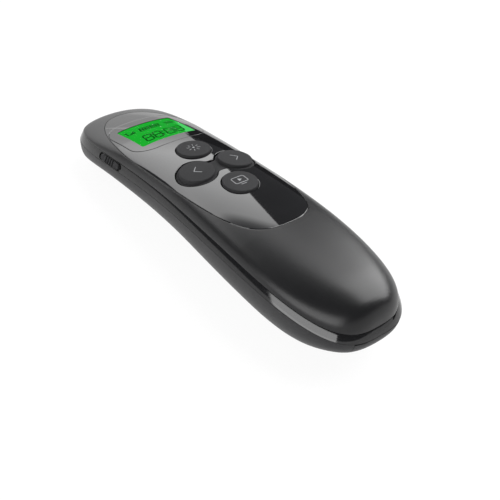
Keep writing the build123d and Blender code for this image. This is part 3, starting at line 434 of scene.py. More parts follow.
def fill(loops: list[Array], spacing: float) -> tuple[Array, Array]:
    """Even triangles over a flat region.

    Args:
        loops: Outer loop and holes, each (n, 2).
        spacing: Distance between the points laid inside, staggered row by row.

    Returns:
        Points (n, 2), of which the loops' own come first and in order, and anticlockwise
        triangles (m, 3).
    """
    border = np.concatenate(loops)
    low, high = border.min(axis=0), border.max(axis=0)
    rows, columns = np.mgrid[low[1]:high[1]:spacing * ROW_PITCH, low[0]:high[0]:spacing]
    columns = columns + (np.arange(len(columns)) % 2)[:, None] * spacing / 2
    inner = np.stack([columns.ravel(), rows.ravel()], axis=1)
    inner = inner[inside(inner, loops)]
    near = np.min(np.hypot(*(inner[:, None] - border[None]).transpose(2, 0, 1)), axis=1)
    points = np.concatenate([border, inner[near > CLEAR_OF_BORDER * spacing]])
    starts = np.cumsum([0] + [len(loop) for loop in loops])
    edges = [
        (first + i, first + (i + 1) % (last - first))
        for first, last in zip(starts, starts[1:]) for i in range(last - first)
    ]
    seeds = [Vector(p) for p in points.tolist()]
    found, _, faces, origin, _, _ = delaunay_2d_cdt(seeds, edges, [], 0, 1e-6)
    source = np.array([min(ids) if ids else -1 for ids in origin])
    triangles = source[np.array(faces)]
    middle = points[triangles].mean(axis=1)
    triangles = triangles[(triangles.min(axis=1) >= 0) & inside(middle, loops)]
    a, b, c = (points[triangles[:, i]] for i in range(3))
    turn = (b[:, 0] - a[:, 0]) * (c[:, 1] - a[:, 1]) - (b[:, 1] - a[:, 1]) * (c[:, 0] - a[:, 0])
    triangles[turn < 0] = triangles[turn < 0][:, ::-1]
    return points, triangles


def smooth(mesh: bpy.types.Mesh, crease: float) -> None:
    """Smooth shading with sharp edges above an angle in degrees."""
    mesh.polygons.foreach_set("use_smooth", np.ones(len(mesh.polygons), dtype=bool))
    mesh.set_sharp_from_angle(angle=radians(crease))


@dataclass
class Skin:
    """Patches of closed surfaces, gathered in millimetres before they become one mesh."""

    points: list[Array] = field(default_factory=list)
    faces: list[Array] = field(default_factory=list)
    normals: list[Array] = field(default_factory=list)

    def patch(self, points: Array, faces: Array, normals: Array | None = None) -> "Skin":
        """Add one patch.

        Args:
            points: Points (n, 3).
            faces: Corner numbers (m, 3) or (m, 4), anticlockwise seen from outside.
            normals: Unit normals (n, 3) for the patch's own corners, or None for averaged ones.

        Returns:
            The skin itself.
        """
        start = sum(len(p) for p in self.points)
        if faces.shape[1] == 3:
            faces = np.concatenate([faces, faces[:, 2:3]], axis=1)
        wanted = np.zeros_like(points) if normals is None else normals
        self.points.append(points)
        self.faces.append(faces + start)
        self.normals.append(wanted[faces])
        return self

    def grid(
        self, points: Array, wrap: bool = False, flip: bool = False, normals: Array | None = None
    ) -> "Skin":
        """Add a grid of quads: rows follow the first parameter, columns the second.

        Args:
            points: Points (rows, columns, 3).
            wrap: Whether the last column joins the first.
            flip: Whether the faces are turned over.
            normals: Unit normals (rows, columns, 3), or None.

        Returns:
            The skin itself.
        """
        rows, columns = points.shape[:2]
        number = np.arange(rows * columns).reshape(rows, columns)
        right = np.roll(number, -1, axis=1)
        if not wrap:
            number, right = number[:, :-1], right[:, :-1]
        quads = np.stack([number[:-1], right[:-1], right[1:], number[1:]], axis=-1).reshape(-1, 4)
        flat = None if normals is None else normals.reshape(-1, 3)
        return self.patch(points.reshape(-1, 3), quads[:, ::-1] if flip else quads, flat)

    def turned(self, profile: Array, frame: Array, sides: int = 96) -> "Skin":
        """Add a turned body: at angle a the profile (r, h) gives the point (r cos a, r sin a, h).

        Args:
            profile: Radius and height (n, 2), from top to bottom.
            frame: Frame whose Z is the axis.
            sides: Steps round the axis.

        Returns:
            The skin itself.
        """
        angle = np.linspace(0, 2 * np.pi, sides, endpoint=False)
        radius, height = profile[:, 0:1], profile[:, 1:2]
        ring = np.broadcast_arrays(radius * np.cos(angle), radius * np.sin(angle), height)
        return self.grid(placed(frame, np.stack(ring, axis=-1)), wrap=True, flip=True)

    def build(self, name: str, crease: float = 35.0) -> bpy.types.Object:
        """Weld the patches and make the mesh, in metres at the origin.

        Points nearer than a ten-thousandth of a millimetre become one; a quad that loses a corner
        becomes a triangle, and one that loses two goes.

        Args:
            name: Name of the piece.
            crease: Angle in degrees above which an edge is drawn sharp.

        Returns:
            The finished object.
        """
        points = np.concatenate(self.points)
        faces, wanted = np.concatenate(self.faces), np.concatenate(self.normals)
        _, first, same = np.unique(
            np.round(points, 4), axis=0, return_index=True, return_inverse=True
        )
        faces = same.reshape(-1)[faces]
        keep = faces != np.roll(faces, 1, axis=1)
        sizes = keep.sum(axis=1)
        good = sizes > 2
        keep, faces, wanted, sizes = keep[good], faces[good], wanted[good], sizes[good]
        mesh = bpy.data.meshes.new(name)
        mesh.vertices.add(len(first))
        mesh.vertices.foreach_set("co", (points[first] * MM).ravel())
        mesh.loops.add(int(sizes.sum()))
        mesh.loops.foreach_set("vertex_index", faces[keep])
        mesh.polygons.add(len(sizes))
        mesh.polygons.foreach_set("loop_start", np.append(0, np.cumsum(sizes)[:-1]))
        mesh.update(calc_edges=True)
        mesh.validate()
        smooth(mesh, crease)
        corner = wanted[keep]
        if np.abs(corner).max() > 0 and len(corner) == len(mesh.loops):
            mesh.normals_split_custom_set(corner.tolist())
        made = bpy.data.objects.new(name, mesh)
        bpy.context.scene.collection.objects.link(made)
        return made


def with_exact_normals(node: bpy.types.Object, name: str, skin: Dome) -> bpy.types.Object:
    """Copy of a CAD node, welded, whose outside faces take the skin's exact normals.

    A face counts as outside where every corner is near the skin and every exact normal there is
    within about 25 degrees of the face's own.

    Args:
        node: The CAD node's object.
        name: Name of the copy.
        skin: The dome that the outside follows.

    Returns:
        The finished object.
    """
    source = node.data
    points = np.empty(len(source.vertices) * 3, dtype=np.float32)
    source.vertices.foreach_get("co", points)
    points = points.reshape(-1, 3).astype(float) / MM
    corners = np.empty(len(source.loops), dtype=np.int32)
    source.loops.foreach_get("vertex_index", corners)
    faces = corners.reshape(-1, 3)
    a, b, c = (points[faces[:, i]] for i in range(3))
    flat = np.cross(b - a, c - a)
    flat = flat / (np.linalg.norm(flat, axis=1, keepdims=True) + 1e-12)
    exact, distance = skin.nearest(points)
    near = (distance[faces] < NEAR_SKIN).all(axis=1)
    aligned = ((exact[faces] * flat[:, None]).sum(axis=-1) > ALIGNED).all(axis=1)
    on_skin = near & aligned
    made = Skin()
    made.patch(points, faces[on_skin], exact)
    made.patch(points, faces[~on_skin])
    return made.build(name, crease=30.0)


# ---- Finishes ------------------------------------------------------------------------------------
def linear(colour: str) -> tuple[float, float, float, float]:
    """Linear RGBA of an sRGB hex colour: c / 12.92 when dark, else ((c + 0.055) / 1.055)^2.4."""
    parts = [int(colour[i:i + 2], 16) / 255 for i in (0, 2, 4)]
    return (*[c / 12.92 if c <= 0.04045 else ((c + 0.055) / 1.055) ** 2.4 for c in parts], 1.0)


def per_metre(size_mm: float) -> float:
    """Scale of a pattern on coordinates in metres, from the real size of its feature."""
    return 1 / (size_mm * MM)


def add_node(
    tree: bpy.types.NodeTree, kind: str, settings: dict | None = None, inputs: dict | None = None
) -> bpy.types.Node:
    """Add a node.

    Args:
        tree: Tree it goes in.
        kind: Blender's name of the node type.
        settings: The node's own properties.
        inputs: Socket name or number to a value, or to another node's output, which is linked.

    Returns:
        The new node.
    """
    node = tree.nodes.new(kind)
    for key, value in (settings or {}).items():
        setattr(node, key, value)
    for key, value in (inputs or {}).items():
        if isinstance(value, bpy.types.NodeSocket):
            tree.links.new(value, node.inputs[key])
        else:
            node.inputs[key].default_value = value
    return node


def larger(
    tree: bpy.types.NodeTree, first: bpy.types.NodeSocket, second: bpy.types.NodeSocket
) -> bpy.types.NodeSocket:
    """The larger of two values.

    Args:
        tree: Node tree that gets the node.
        first: One value.
        second: The other value.

    Returns:
        Socket of the larger value.
    """
    return add_node(tree, "ShaderNodeMath", {"operation": "MAXIMUM"}, {
        0: first, 1: second,
    }).outputs[0]


@dataclass(frozen=True)
class Finish:
    """A named finish: fresh() starts its node tree, and each kind of finish fills it in.

    The small methods below add what several finishes share; each returns the socket that it made.
    """

    name: str

    def fresh(self) -> tuple[bpy.types.Material, bpy.types.NodeTree, bpy.types.NodeSocket]:
        """Empty material, its tree, and the object's own coordinates.

        Returns:
            The material, its node tree and the socket of the coordinates.
        """
        material = bpy.data.materials.new(self.name)
        material.use_nodes = True
        tree = material.node_tree
        tree.nodes.clear()
        place = add_node(tree, "ShaderNodeTexCoord").outputs["Object"]
        return material, tree, place

    def material(self) -> bpy.types.Material:
        """The finished material."""
        raise NotImplementedError

    @staticmethod
    def out(tree: bpy.types.NodeTree, shader: bpy.types.Node) -> None:
        """Join a shader to the tree's output."""
        add_node(tree, "ShaderNodeOutputMaterial", inputs={"Surface": shader.outputs[0]})

    @staticmethod
    def noise(
        tree: bpy.types.NodeTree, place: bpy.types.NodeSocket, size_mm: float, detail: float = 2.0,
        stretch: tuple[float, float, float] = (1, 1, 1),
    ) -> bpy.types.NodeSocket:
        """Noise over the object.

        Args:
            tree: Tree it goes in.
            place: Coordinates.
            size_mm: About how wide its features are.
            detail: How many finer layers it has.
            stretch: Scale of the coordinates; the pattern is drawn out where it is small.

        Returns:
            The noise, from 0 to 1.
        """
        spread = add_node(tree, "ShaderNodeMapping", inputs={"Vector": place, "Scale": stretch})
        return add_node(tree, "ShaderNodeTexNoise", inputs={
            "Vector": spread.outputs[0], "Scale": per_metre(size_mm),
            "Detail": detail, "Roughness": 0.55,
        }).outputs["Fac"]

    @staticmethod
    def stripes(
        tree: bpy.types.NodeTree, place: bpy.types.NodeSocket, size_mm: float
    ) -> bpy.types.NodeSocket:
        """Soft stripes across Y, 2 pi x size_mm apart.

        Args:
            tree: Node tree that gets the nodes.
            place: Coordinates that the stripes follow.
            size_mm: Distance between stripes, divided by 2 pi.

        Returns:
            Socket of the stripes' value.
        """
        return add_node(tree, "ShaderNodeTexWave", {"bands_direction": "Y"}, {
            "Vector": place, "Scale": per_metre(size_mm) / WAVE_PHASE, "Distortion": 0.0,
        }).outputs["Fac"]

    @staticmethod
    def span(
        tree: bpy.types.NodeTree, value: bpy.types.NodeSocket, low: float, high: float,
        start: float = 0.3, end: float = 0.7,
    ) -> bpy.types.NodeSocket:
        """Value carried from start..end to low..high.

        Args:
            tree: Node tree that gets the node.
            value: Socket that is mapped.
            low: Result at start.
            high: Result at end.
            start: Value that gives low.
            end: Value that gives high.

        Returns:
            Socket of the result.
        """
        return add_node(tree, "ShaderNodeMapRange", inputs={
            "Value": value, "From Min": start, "From Max": end, "To Min": low, "To Max": high,
        }).outputs[0]

    @staticmethod
    def shades(
        tree: bpy.types.NodeTree, value: bpy.types.NodeSocket, *stops: tuple[float, str]
    ) -> bpy.types.NodeSocket:
        """Colour picked from a ramp.

        Args:
            tree: Tree it goes in.
            value: What picks the colour.
            stops: The ramp's two stops, each a place from 0 to 1 and an sRGB hex colour.

        Returns:
            The colour.
        """
        ramp = add_node(tree, "ShaderNodeValToRGB", inputs={"Fac": value})
        for point, (where, colour) in zip(ramp.color_ramp.elements, stops):
            point.position, point.color = where, linear(colour)
        return ramp.outputs["Color"]

    @staticmethod
    def bumped(
        tree: bpy.types.NodeTree, height: bpy.types.NodeSocket, depth_mm: float
    ) -> bpy.types.NodeSocket:
        """Normal of a relief whose height runs through depth_mm.

        Args:
            tree: Node tree that gets the node.
            height: Socket of the relief's height.
            depth_mm: Depth of the relief.

        Returns:
            Socket of the normal.
        """
        return add_node(tree, "ShaderNodeBump", inputs={
            "Height": height, "Strength": 1.0, "Distance": depth_mm * MM,
        }).outputs[0]


@dataclass(frozen=True)
class MouldedPlastic(Finish):
    """Injection-moulded ABS or nylon: one pigment, faintly clouded, and the mould's spark grain.

    The grain breaks the gloss into a soft sheen; the cloud keeps wide faces from looking printed.
    A polished mould leaves hardly any grain, and the plastic shines.
    """

    colour: str
    cloud: str
    roughness: tuple[float, float]
    grain_mm: float = 0.35
    grain_depth_mm: float = 0.004
    cloud_mm: float = 14.0
    level: float = 0.5

    def material(self) -> bpy.types.Material:
        """Pigment cloud, and grain in the relief and in the gloss.

        Returns:
            The material.
        """
        material, tree, place = self.fresh()
        cloud = self.noise(tree, place, self.cloud_mm, 3.0)
        # Real grain is near 0.05 mm; it is drawn coarser, so that it shows from arm's length.
        grain = self.noise(tree, place, self.grain_mm, 2.0)
        self.out(tree, add_node(tree, "ShaderNodeBsdfPrincipled", inputs={
            "Base Color": self.shades(tree, cloud, (0.35, self.colour), (0.65, self.cloud)),
            "Roughness": self.span(tree, grain, *self.roughness),
            "IOR": 1.53,
            "Specular IOR Level": self.level,
            "Normal": self.bumped(tree, grain, self.grain_depth_mm),
        }))
        return material


@dataclass(frozen=True)
class ClearAcrylic(Finish):
    """Polished acrylic: clear, hard and bright, with a trace of tint in its thickness.

    A share below 1 thins the whole surface, as a stand-in for an anti-reflection coat.
    """

    tint: str
    ior: float = 1.49
    roughness: float = 0.02
    share: float = 1.0

    def material(self) -> bpy.types.Material:
        """Clear body whose polish varies a little where it has been wiped.

        Returns:
            The material.
        """
        material, tree, place = self.fresh()
        wiped = self.noise(tree, place, 6.0, 2.0, (0.3, 1, 1))
        self.out(tree, add_node(tree, "ShaderNodeBsdfPrincipled", inputs={
            "Base Color": self.shades(tree, wiped, (0.3, "ffffff"), (0.7, self.tint)),
            "Roughness": self.span(tree, wiped, self.roughness, self.roughness * 1.6),
            "Transmission Weight": 1.0,
            "IOR": self.ior,
            "Alpha": self.share,
        }))
        return material


@dataclass(frozen=True)
class BacklitDisplay(Finish):
    """Liquid-crystal glass over a green light guide, brighter in the wedge beside its lamp."""

    cell: str
    far: str
    near: str
    lamp_mm: tuple[float, float]
    reach_mm: tuple[float, float]

    def material(self) -> bpy.types.Material:
        """Glow of the guide: the lamp's wedge is where dx / reach_x + dy / reach_y < 1.

        Returns:
            The material.
        """
        material, tree, place = self.fresh()
        lamp = (*(at * MM for at in self.lamp_mm), 0.0)
        steepness = (*(1 / (reach * MM) for reach in self.reach_mm), 0.0)
        from_lamp = add_node(tree, "ShaderNodeVectorMath", {"operation": "SUBTRACT"}, {
            0: place, 1: lamp,
        })
        share = add_node(tree, "ShaderNodeVectorMath", {"operation": "DOT_PRODUCT"}, {
            0: from_lamp.outputs[0], 1: steepness,
        })
        wedge = self.span(tree, share.outputs["Value"], 1.0, 0.0, 0.96, 1.04)
        glow = self.shades(tree, wedge, (0.0, self.far), (1.0, self.near))
        # Rubbed alignment layer, far coarser than the real one and drawn only in the relief.
        rows = self.stripes(tree, place, 0.3)
        self.out(tree, add_node(tree, "ShaderNodeBsdfPrincipled", inputs={
            "Base Color": linear(self.cell), "Emission Color": glow, "Emission Strength": 1.0,
            "Roughness": 0.3, "IOR": 1.52, "Specular IOR Level": 0.0,
            "Normal": self.bumped(tree, rows, 0.002),
        }))
        return material


@dataclass(frozen=True)
class PrintedInk(Finish):
    """Pad-printed or liquid-crystal ink: thin, uneven in cover, duller than what it is on."""

    colour: str
    thin: str
    roughness: float = 0.5
    level: float = 0.2

    def material(self) -> bpy.types.Material:
        """Ink whose cover varies over about half a millimetre.

        Returns:
            The material.
        """
        material, tree, place = self.fresh()
        cover = self.noise(tree, place, 0.5, 3.0)
        self.out(tree, add_node(tree, "ShaderNodeBsdfPrincipled", inputs={
            "Base Color": self.shades(tree, cover, (0.35, self.colour), (0.75, self.thin)),
            "Roughness": self.roughness,
            "Specular IOR Level": self.level,
            "Normal": self.bumped(tree, cover, 0.002),
        }))
        return material


@dataclass(frozen=True)
class Metal(Finish):
    """Bare or plated metal, with the lines that rolling, turning or drawing leave."""

    colour: str
    dull: str
    roughness: tuple[float, float]
    line_mm: float = 0.12
    grain_along: tuple[float, float, float] = (0.06, 1, 1)
    relief_mm: float = 0.003

    def material(self) -> bpy.types.Material:
        """Drawn-out lines in the gloss and relief, and a slow tarnish in the colour.

        Returns:
            The material.
        """
        material, tree, place = self.fresh()
        lines = self.noise(tree, place, self.line_mm, 2.0, self.grain_along)
        tarnish = self.noise(tree, place, 3.0, 3.0)
        self.out(tree, add_node(tree, "ShaderNodeBsdfPrincipled", inputs={
            "Base Color": self.shades(tree, tarnish, (0.35, self.colour), (0.75, self.dull)),
            "Metallic": 1.0,
            "Roughness": self.span(tree, lines, *self.roughness),
            "Normal": self.bumped(tree, lines, self.relief_mm),
        }))
        return material


@dataclass(frozen=True)
class CircuitLaminate(Finish):
    """Glass-epoxy board under green solder mask: tracks show as paler lines 0.3 mm wide.

    The tracks are the mortar of a brick pattern, 2.2 mm to its unit.
    """

    mask: str
    track: str

    def material(self) -> bpy.types.Material:
        """Mask colour over a grid of tracks, with the glass weave in the gloss.

        Returns:
            The material.
        """
        material, tree, place = self.fresh()
        grid = add_node(tree, "ShaderNodeTexBrick", {"offset": 0.37, "squash": 1.0}, {
            "Vector": place, "Scale": per_metre(2.2),
            "Color1": (0, 0, 0, 1), "Color2": (0.25, 0.25, 0.25, 1), "Mortar": WHITE,
            "Mortar Size": 0.06, "Brick Width": 1.4, "Row Height": 0.5,
        }).outputs["Color"]
        weave = self.noise(tree, place, 0.4, 2.0)
        self.out(tree, add_node(tree, "ShaderNodeBsdfPrincipled", inputs={
            "Base Color": self.shades(tree, grid, (0.0, self.mask), (1.0, self.track)),
            "Roughness": self.span(tree, weave, 0.28, 0.4),
            "IOR": 1.5,
            "Normal": self.bumped(tree, grid, 0.02),
        }))
        return material


@dataclass(frozen=True)
class RibbonFilm(Finish):
    """Polyimide ribbon: amber film over copper lines, drawn coarser than real ones."""

    film: str
    copper: str

    def material(self) -> bpy.types.Material:
        """Copper lines along the ribbon, softened by the film.

        Returns:
            The material.
        """
        material, tree, place = self.fresh()
        lines = self.stripes(tree, place, 0.5)
        self.out(tree, add_node(tree, "ShaderNodeBsdfPrincipled", inputs={
            "Base Color": self.shades(tree, lines, (0.3, self.film), (0.7, self.copper)),
            "Roughness": self.span(tree, lines, 0.25, 0.38),
            "IOR": 1.7,
            "Normal": self.bumped(tree, lines, 0.02),
        }))
        return material


@dataclass(frozen=True)
class CellJacket(Finish):
    """Shrunk foil jacket of a round cell: dark sleeve, copper-coloured from the change in X on."""

    sleeve: str
    shoulder: str
    change_x_mm: float
    blend_mm: float = 0.05

    def material(self) -> bpy.types.Material:
        """Two plain bands along the cell under one glossy film.

        Returns:
            The material.
        """
        material, tree, place = self.fresh()
        along = add_node(tree, "ShaderNodeSeparateXYZ", inputs={"Vector": place}).outputs["X"]
        start, end = ((self.change_x_mm + way * self.blend_mm) * MM for way in (-1, 1))
        edge = self.span(tree, along, 0, 1, start, end)
        wrinkle = self.noise(tree, place, 1.5, 2.0, (0.2, 1, 1))
        self.out(tree, add_node(tree, "ShaderNodeBsdfPrincipled", inputs={
            "Base Color": self.shades(tree, edge, (0.0, self.sleeve), (1.0, self.shoulder)),
            "Roughness": self.span(tree, wrinkle, 0.18, 0.3),
            "Metallic": 0.4,
            "Coat Weight": 0.6,
            "Normal": self.bumped(tree, wrinkle, 0.01),
        }))
        return material


@dataclass(frozen=True)
class StudioPaper(Finish):
    """Seamless white paper: mostly its own white, and for the rest lit paper with the shadow."""

    colour: str
    own_white: float

    def material(self) -> bpy.types.Material:
        """Matt paper mixed with plain white for camera, glossy and transmission rays.

        Returns:
            The material.
        """
        material, tree, place = self.fresh()
        fibre = self.noise(tree, place, 0.8, 2.0)
        paper = add_node(tree, "ShaderNodeBsdfDiffuse", inputs={
            "Color": self.shades(tree, fibre, (0.3, self.colour), (0.7, "ffffff")),
        })
        white = add_node(tree, "ShaderNodeEmission", inputs={"Color": WHITE, "Strength": 1.0})
        path = add_node(tree, "ShaderNodeLightPath").outputs
        bounced = larger(tree, path["Is Glossy Ray"], path["Is Transmission Ray"])
        seen = larger(tree, path["Is Camera Ray"], bounced)
        share = add_node(tree, "ShaderNodeMath", {"operation": "MULTIPLY"}, {
            0: seen, 1: self.own_white,
        })
        self.out(tree, add_node(tree, "ShaderNodeMixShader", inputs={
            0: share.outputs[0], 1: paper.outputs[0], 2: white.outputs[0],
        }))
        return material


class Dressing(Enum):
    """Named finishes, each of which becomes a material once."""

    @cached_property
    def material(self) -> bpy.types.Material:
        """The finish's material."""
        return self.value.material()


class Slot(Dressing):
    """The record's material slots, each with its finish."""

    case_upper = MouldedPlastic(
        "satin_abs_upper", "131314", "161617", (0.29, 0.34), grain_depth_mm=0.003, level=0.27
    )
    case_lower = MouldedPlastic(
        "satin_abs_lower", "202021", "242425", (0.38, 0.44), grain_depth_mm=0.004, level=0.18
    )
    trim_gloss = MouldedPlastic(
        "polished_abs_ring", "0f0f10", "131314", (0.08, 0.11), grain_depth_mm=0.0004
    )
    panel_gloss = MouldedPlastic(
        "piano_black_inlay", "131314", "171718", (0.035, 0.05), grain_depth_mm=0.0002
    )
    clear_lens = ClearAcrylic("clear_acrylic", "fafffb")
    display_glass = BacklitDisplay(
        "backlit_display_glass", "060a07", "18ac2c", "4ed368", (28.6, -9.9), (13.4, 3.6)
    )
    keys = MouldedPlastic(
        "satin_key_abs", "29292a", "2d2d2e", (0.72, 0.8), grain_depth_mm=0.004, level=0.08
    )
    inner_plastic = MouldedPlastic(
        "natural_nylon", "8a8880", "96948c", (0.4, 0.55), grain_mm=0.6
    )
    ribbon = RibbonFilm("polyimide_ribbon", "8a4a12", "c8793a")
    circuit_board = CircuitLaminate("solder_mask_laminate", "0c3d22", "1d6a3c")
    spring_metal = Metal("spring_steel", "b9bcc0", "8f9296", (0.22, 0.34))
    brass = Metal("turned_brass", "c9a24e", "a8843a", (0.2, 0.3), grain_along=(1, 1, 0.1))
    gold = Metal("gold_plate", "e2b659", "c79a43", (0.18, 0.26))
    cell_jacket = CellJacket("foil_cell_jacket", "1d1e22", "b8763a", 1.5)


class Ink(Dressing):
    """Inks, coats and backings that stand on a slot's finish."""

    key_symbol = PrintedInk("grey_pad_print", "88898b", "77787a", 0.5)
    display_symbol = PrintedInk("liquid_crystal_segment", "0a2a10", "0c3315", 0.8, 0.0)
    window_coating = ClearAcrylic("clear_acrylic_coated", "fafffb", 1.06, 0.0, 0.015)
    lens_backing = MouldedPlastic(
        "black_backed_acrylic", "121213", "161617", (0.035, 0.05), grain_depth_mm=0.0002
    )


# ---- Outlines ------------------------------------------------------------------------------------
def arc(centre: tuple[float, float], radius: float, start: float, end: float, steps: int) -> Array:
    """Points on an arc: centre + r (cos a, sin a), angles in degrees, both ends included."""
    a = np.radians(np.linspace(start, end, steps + 1))
    return np.array(centre) + radius * np.stack([np.cos(a), np.sin(a)], axis=1)


def rounded_rectangle(
    centre: tuple[float, float], length: float, width: float, corner: float, steps: int = 12
) -> Array:
    """Anticlockwise loop of a rectangle whose corners are arcs.

    Args:
        centre: Middle of the rectangle.
        length, width: Its sizes along X and along Y.
        corner: Radius of its corners.
        steps: Steps per corner.

    Returns:
        Points (n, 2), 12 of them along each side.
    """
    x, y = length / 2 - corner, width / 2 - corner
    corners = [
        arc((sx * x, sy * y), corner, start, start + 90, steps)
        for sx, sy, start in ((1, 1, 0), (-1, 1, 90), (-1, -1, 180), (1, -1, 270))
    ]
    along_side = np.linspace(0, 1, 14)[1:-1, None]
    runs = []
    for this, following in zip(corners, corners[1:] + corners[:1]):
        runs += [this, this[-1] + along_side * (following[0] - this[-1])]
    return np.concatenate(runs) + np.array(centre)


def rectangle(x0: float, x1: float, y0: float, y1: float) -> Array:
    """Anticlockwise loop of a plain rectangle."""
    return np.array([(x0, y0), (x1, y0), (x1, y1), (x0, y1)], dtype=float)


def circle(centre: tuple[float, float], radius: float, steps: int = 96) -> Array:
    """Anticlockwise loop of a circle."""
    return arc(centre, radius, 0, 360, steps)[:-1]


def both_sides(half: Array) -> Array:
    """Closed loop from its left half, which runs from tail to nose, and the half's mirror."""
    return np.concatenate([half[::-1], half[1:-1] * np.array([1, -1])])


@dataclass(frozen=True)
class Opening:
    """An edge of a sheet: its outer loop or the loop of a hole.

    ring(d) is the loop moved d millimetres into the material; lean is how far it moves in X for
    each millimetre of depth.
    """

    ring: Callable[[float], Array]
    lean: float = 0.0


@dataclass
class SkinSheet:
    """Sheet that follows the crown, with rounded upper edges and upright sides.

    A point of the sheet is (x, y, H(x, y) - sunk - depth), where H is the crown's height.
    """

    crown: Dome
    outer: Opening
    holes: tuple[Opening, ...] = ()
    thick: float = 1.2
    sunk: float = 0.0
    edge: float = 0.15
    spacing: float = 1.5
    back_coarser: float = 2.5

    def lifted(self, flat: Array, depth: float, lean: float = 0.0) -> Array:
        """Plan points at a depth below the sheet's own face."""
        x, y = flat[:, 0] + lean * depth, flat[:, 1]
        return np.stack([x, y, self.crown.height(x, y) - self.sunk - depth], axis=1)

    def build(self, skin: Skin) -> Skin:
        """Face, rounded edges, sides and back of the sheet.

        The rounding runs through a = 90..0 degrees: into the material by r (1 - cos a) at a depth
        of r (1 - sin a).

        Args:
            skin: Takes the patches.

        Returns:
            The same skin.
        """
        openings = [self.outer, *self.holes]
        face, triangles = fill([o.ring(self.edge) for o in openings], self.spacing)
        skin.patch(self.lifted(face, 0.0), triangles, self.crown.upright(*face.T))
        loops = [o.ring(0.0) for o in openings]
        back, backs = fill(loops, self.back_coarser * self.spacing)
        lean = np.zeros(len(back))
        on_loops = [np.full(len(loop), o.lean) for o, loop in zip(openings, loops)]
        lean[:sum(map(len, loops))] = np.concatenate(on_loops)
        low = back + np.stack([lean * self.thick, 0 * lean], axis=1)
        skin.patch(self.lifted(low, self.thick), backs[:, ::-1])
        angles = np.radians([90.0, 60.0, 30.0, 0.0])
        rows = [(self.edge * (1 - np.cos(a)), self.edge * (1 - np.sin(a))) for a in angles]
        rows.append((0.0, self.thick))
        for o in openings:
            strip = np.stack([self.lifted(o.ring(into), depth, o.lean) for into, depth in rows])
            skin.grid(strip, wrap=True, flip=o is self.outer)
        return skin


@dataclass
class Piece:
    """What every dressed piece needs: its name, body, finish, and the nodes it stands for."""

    name: str
    body: str
    slot: Slot
    nodes: tuple[str, ...] = ()
    ink: Ink | None = None

    def dress(self, made: bpy.types.Object) -> bpy.types.Object:
        """Give a finished object the material of its ink, or else of its slot, join it to its body,
        and hide the nodes it stands for.

        Args:
            made: The object.

        Returns:
            The same object.
        """
        made.data.materials.clear()
        made.data.materials.append((self.ink or self.slot).material)
        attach(made, self.body)
        if self.nodes:
            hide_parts(*self.nodes)
        LOG.info("%s: %d faces, rides on %s", self.name, len(made.data.polygons), self.body)
        return made


# ---- Case ----------------------------------------------------------------------------------------
@dataclass
class LowerCovers:
    """Lower cover, battery door and receiver grip: solids whose skin gets exact normals."""

    form: CaseForm
    nodes: dict[str, bpy.types.Object]

    def build(self) -> list[bpy.types.Object]:
        """The three dressed copies.

        Returns:
            Their objects.
        """
        made = []
        for node, body in (
            ("bottom_cover", "case"), ("battery_door", "door"), ("receiver_cap", "receiver"),
        ):
            name = f"{node}_skin"
            copy = with_exact_normals(self.nodes[node], name, self.form.belly)
            made.append(Piece(name, body, Slot.case_lower, (node,)).dress(copy))
        return made


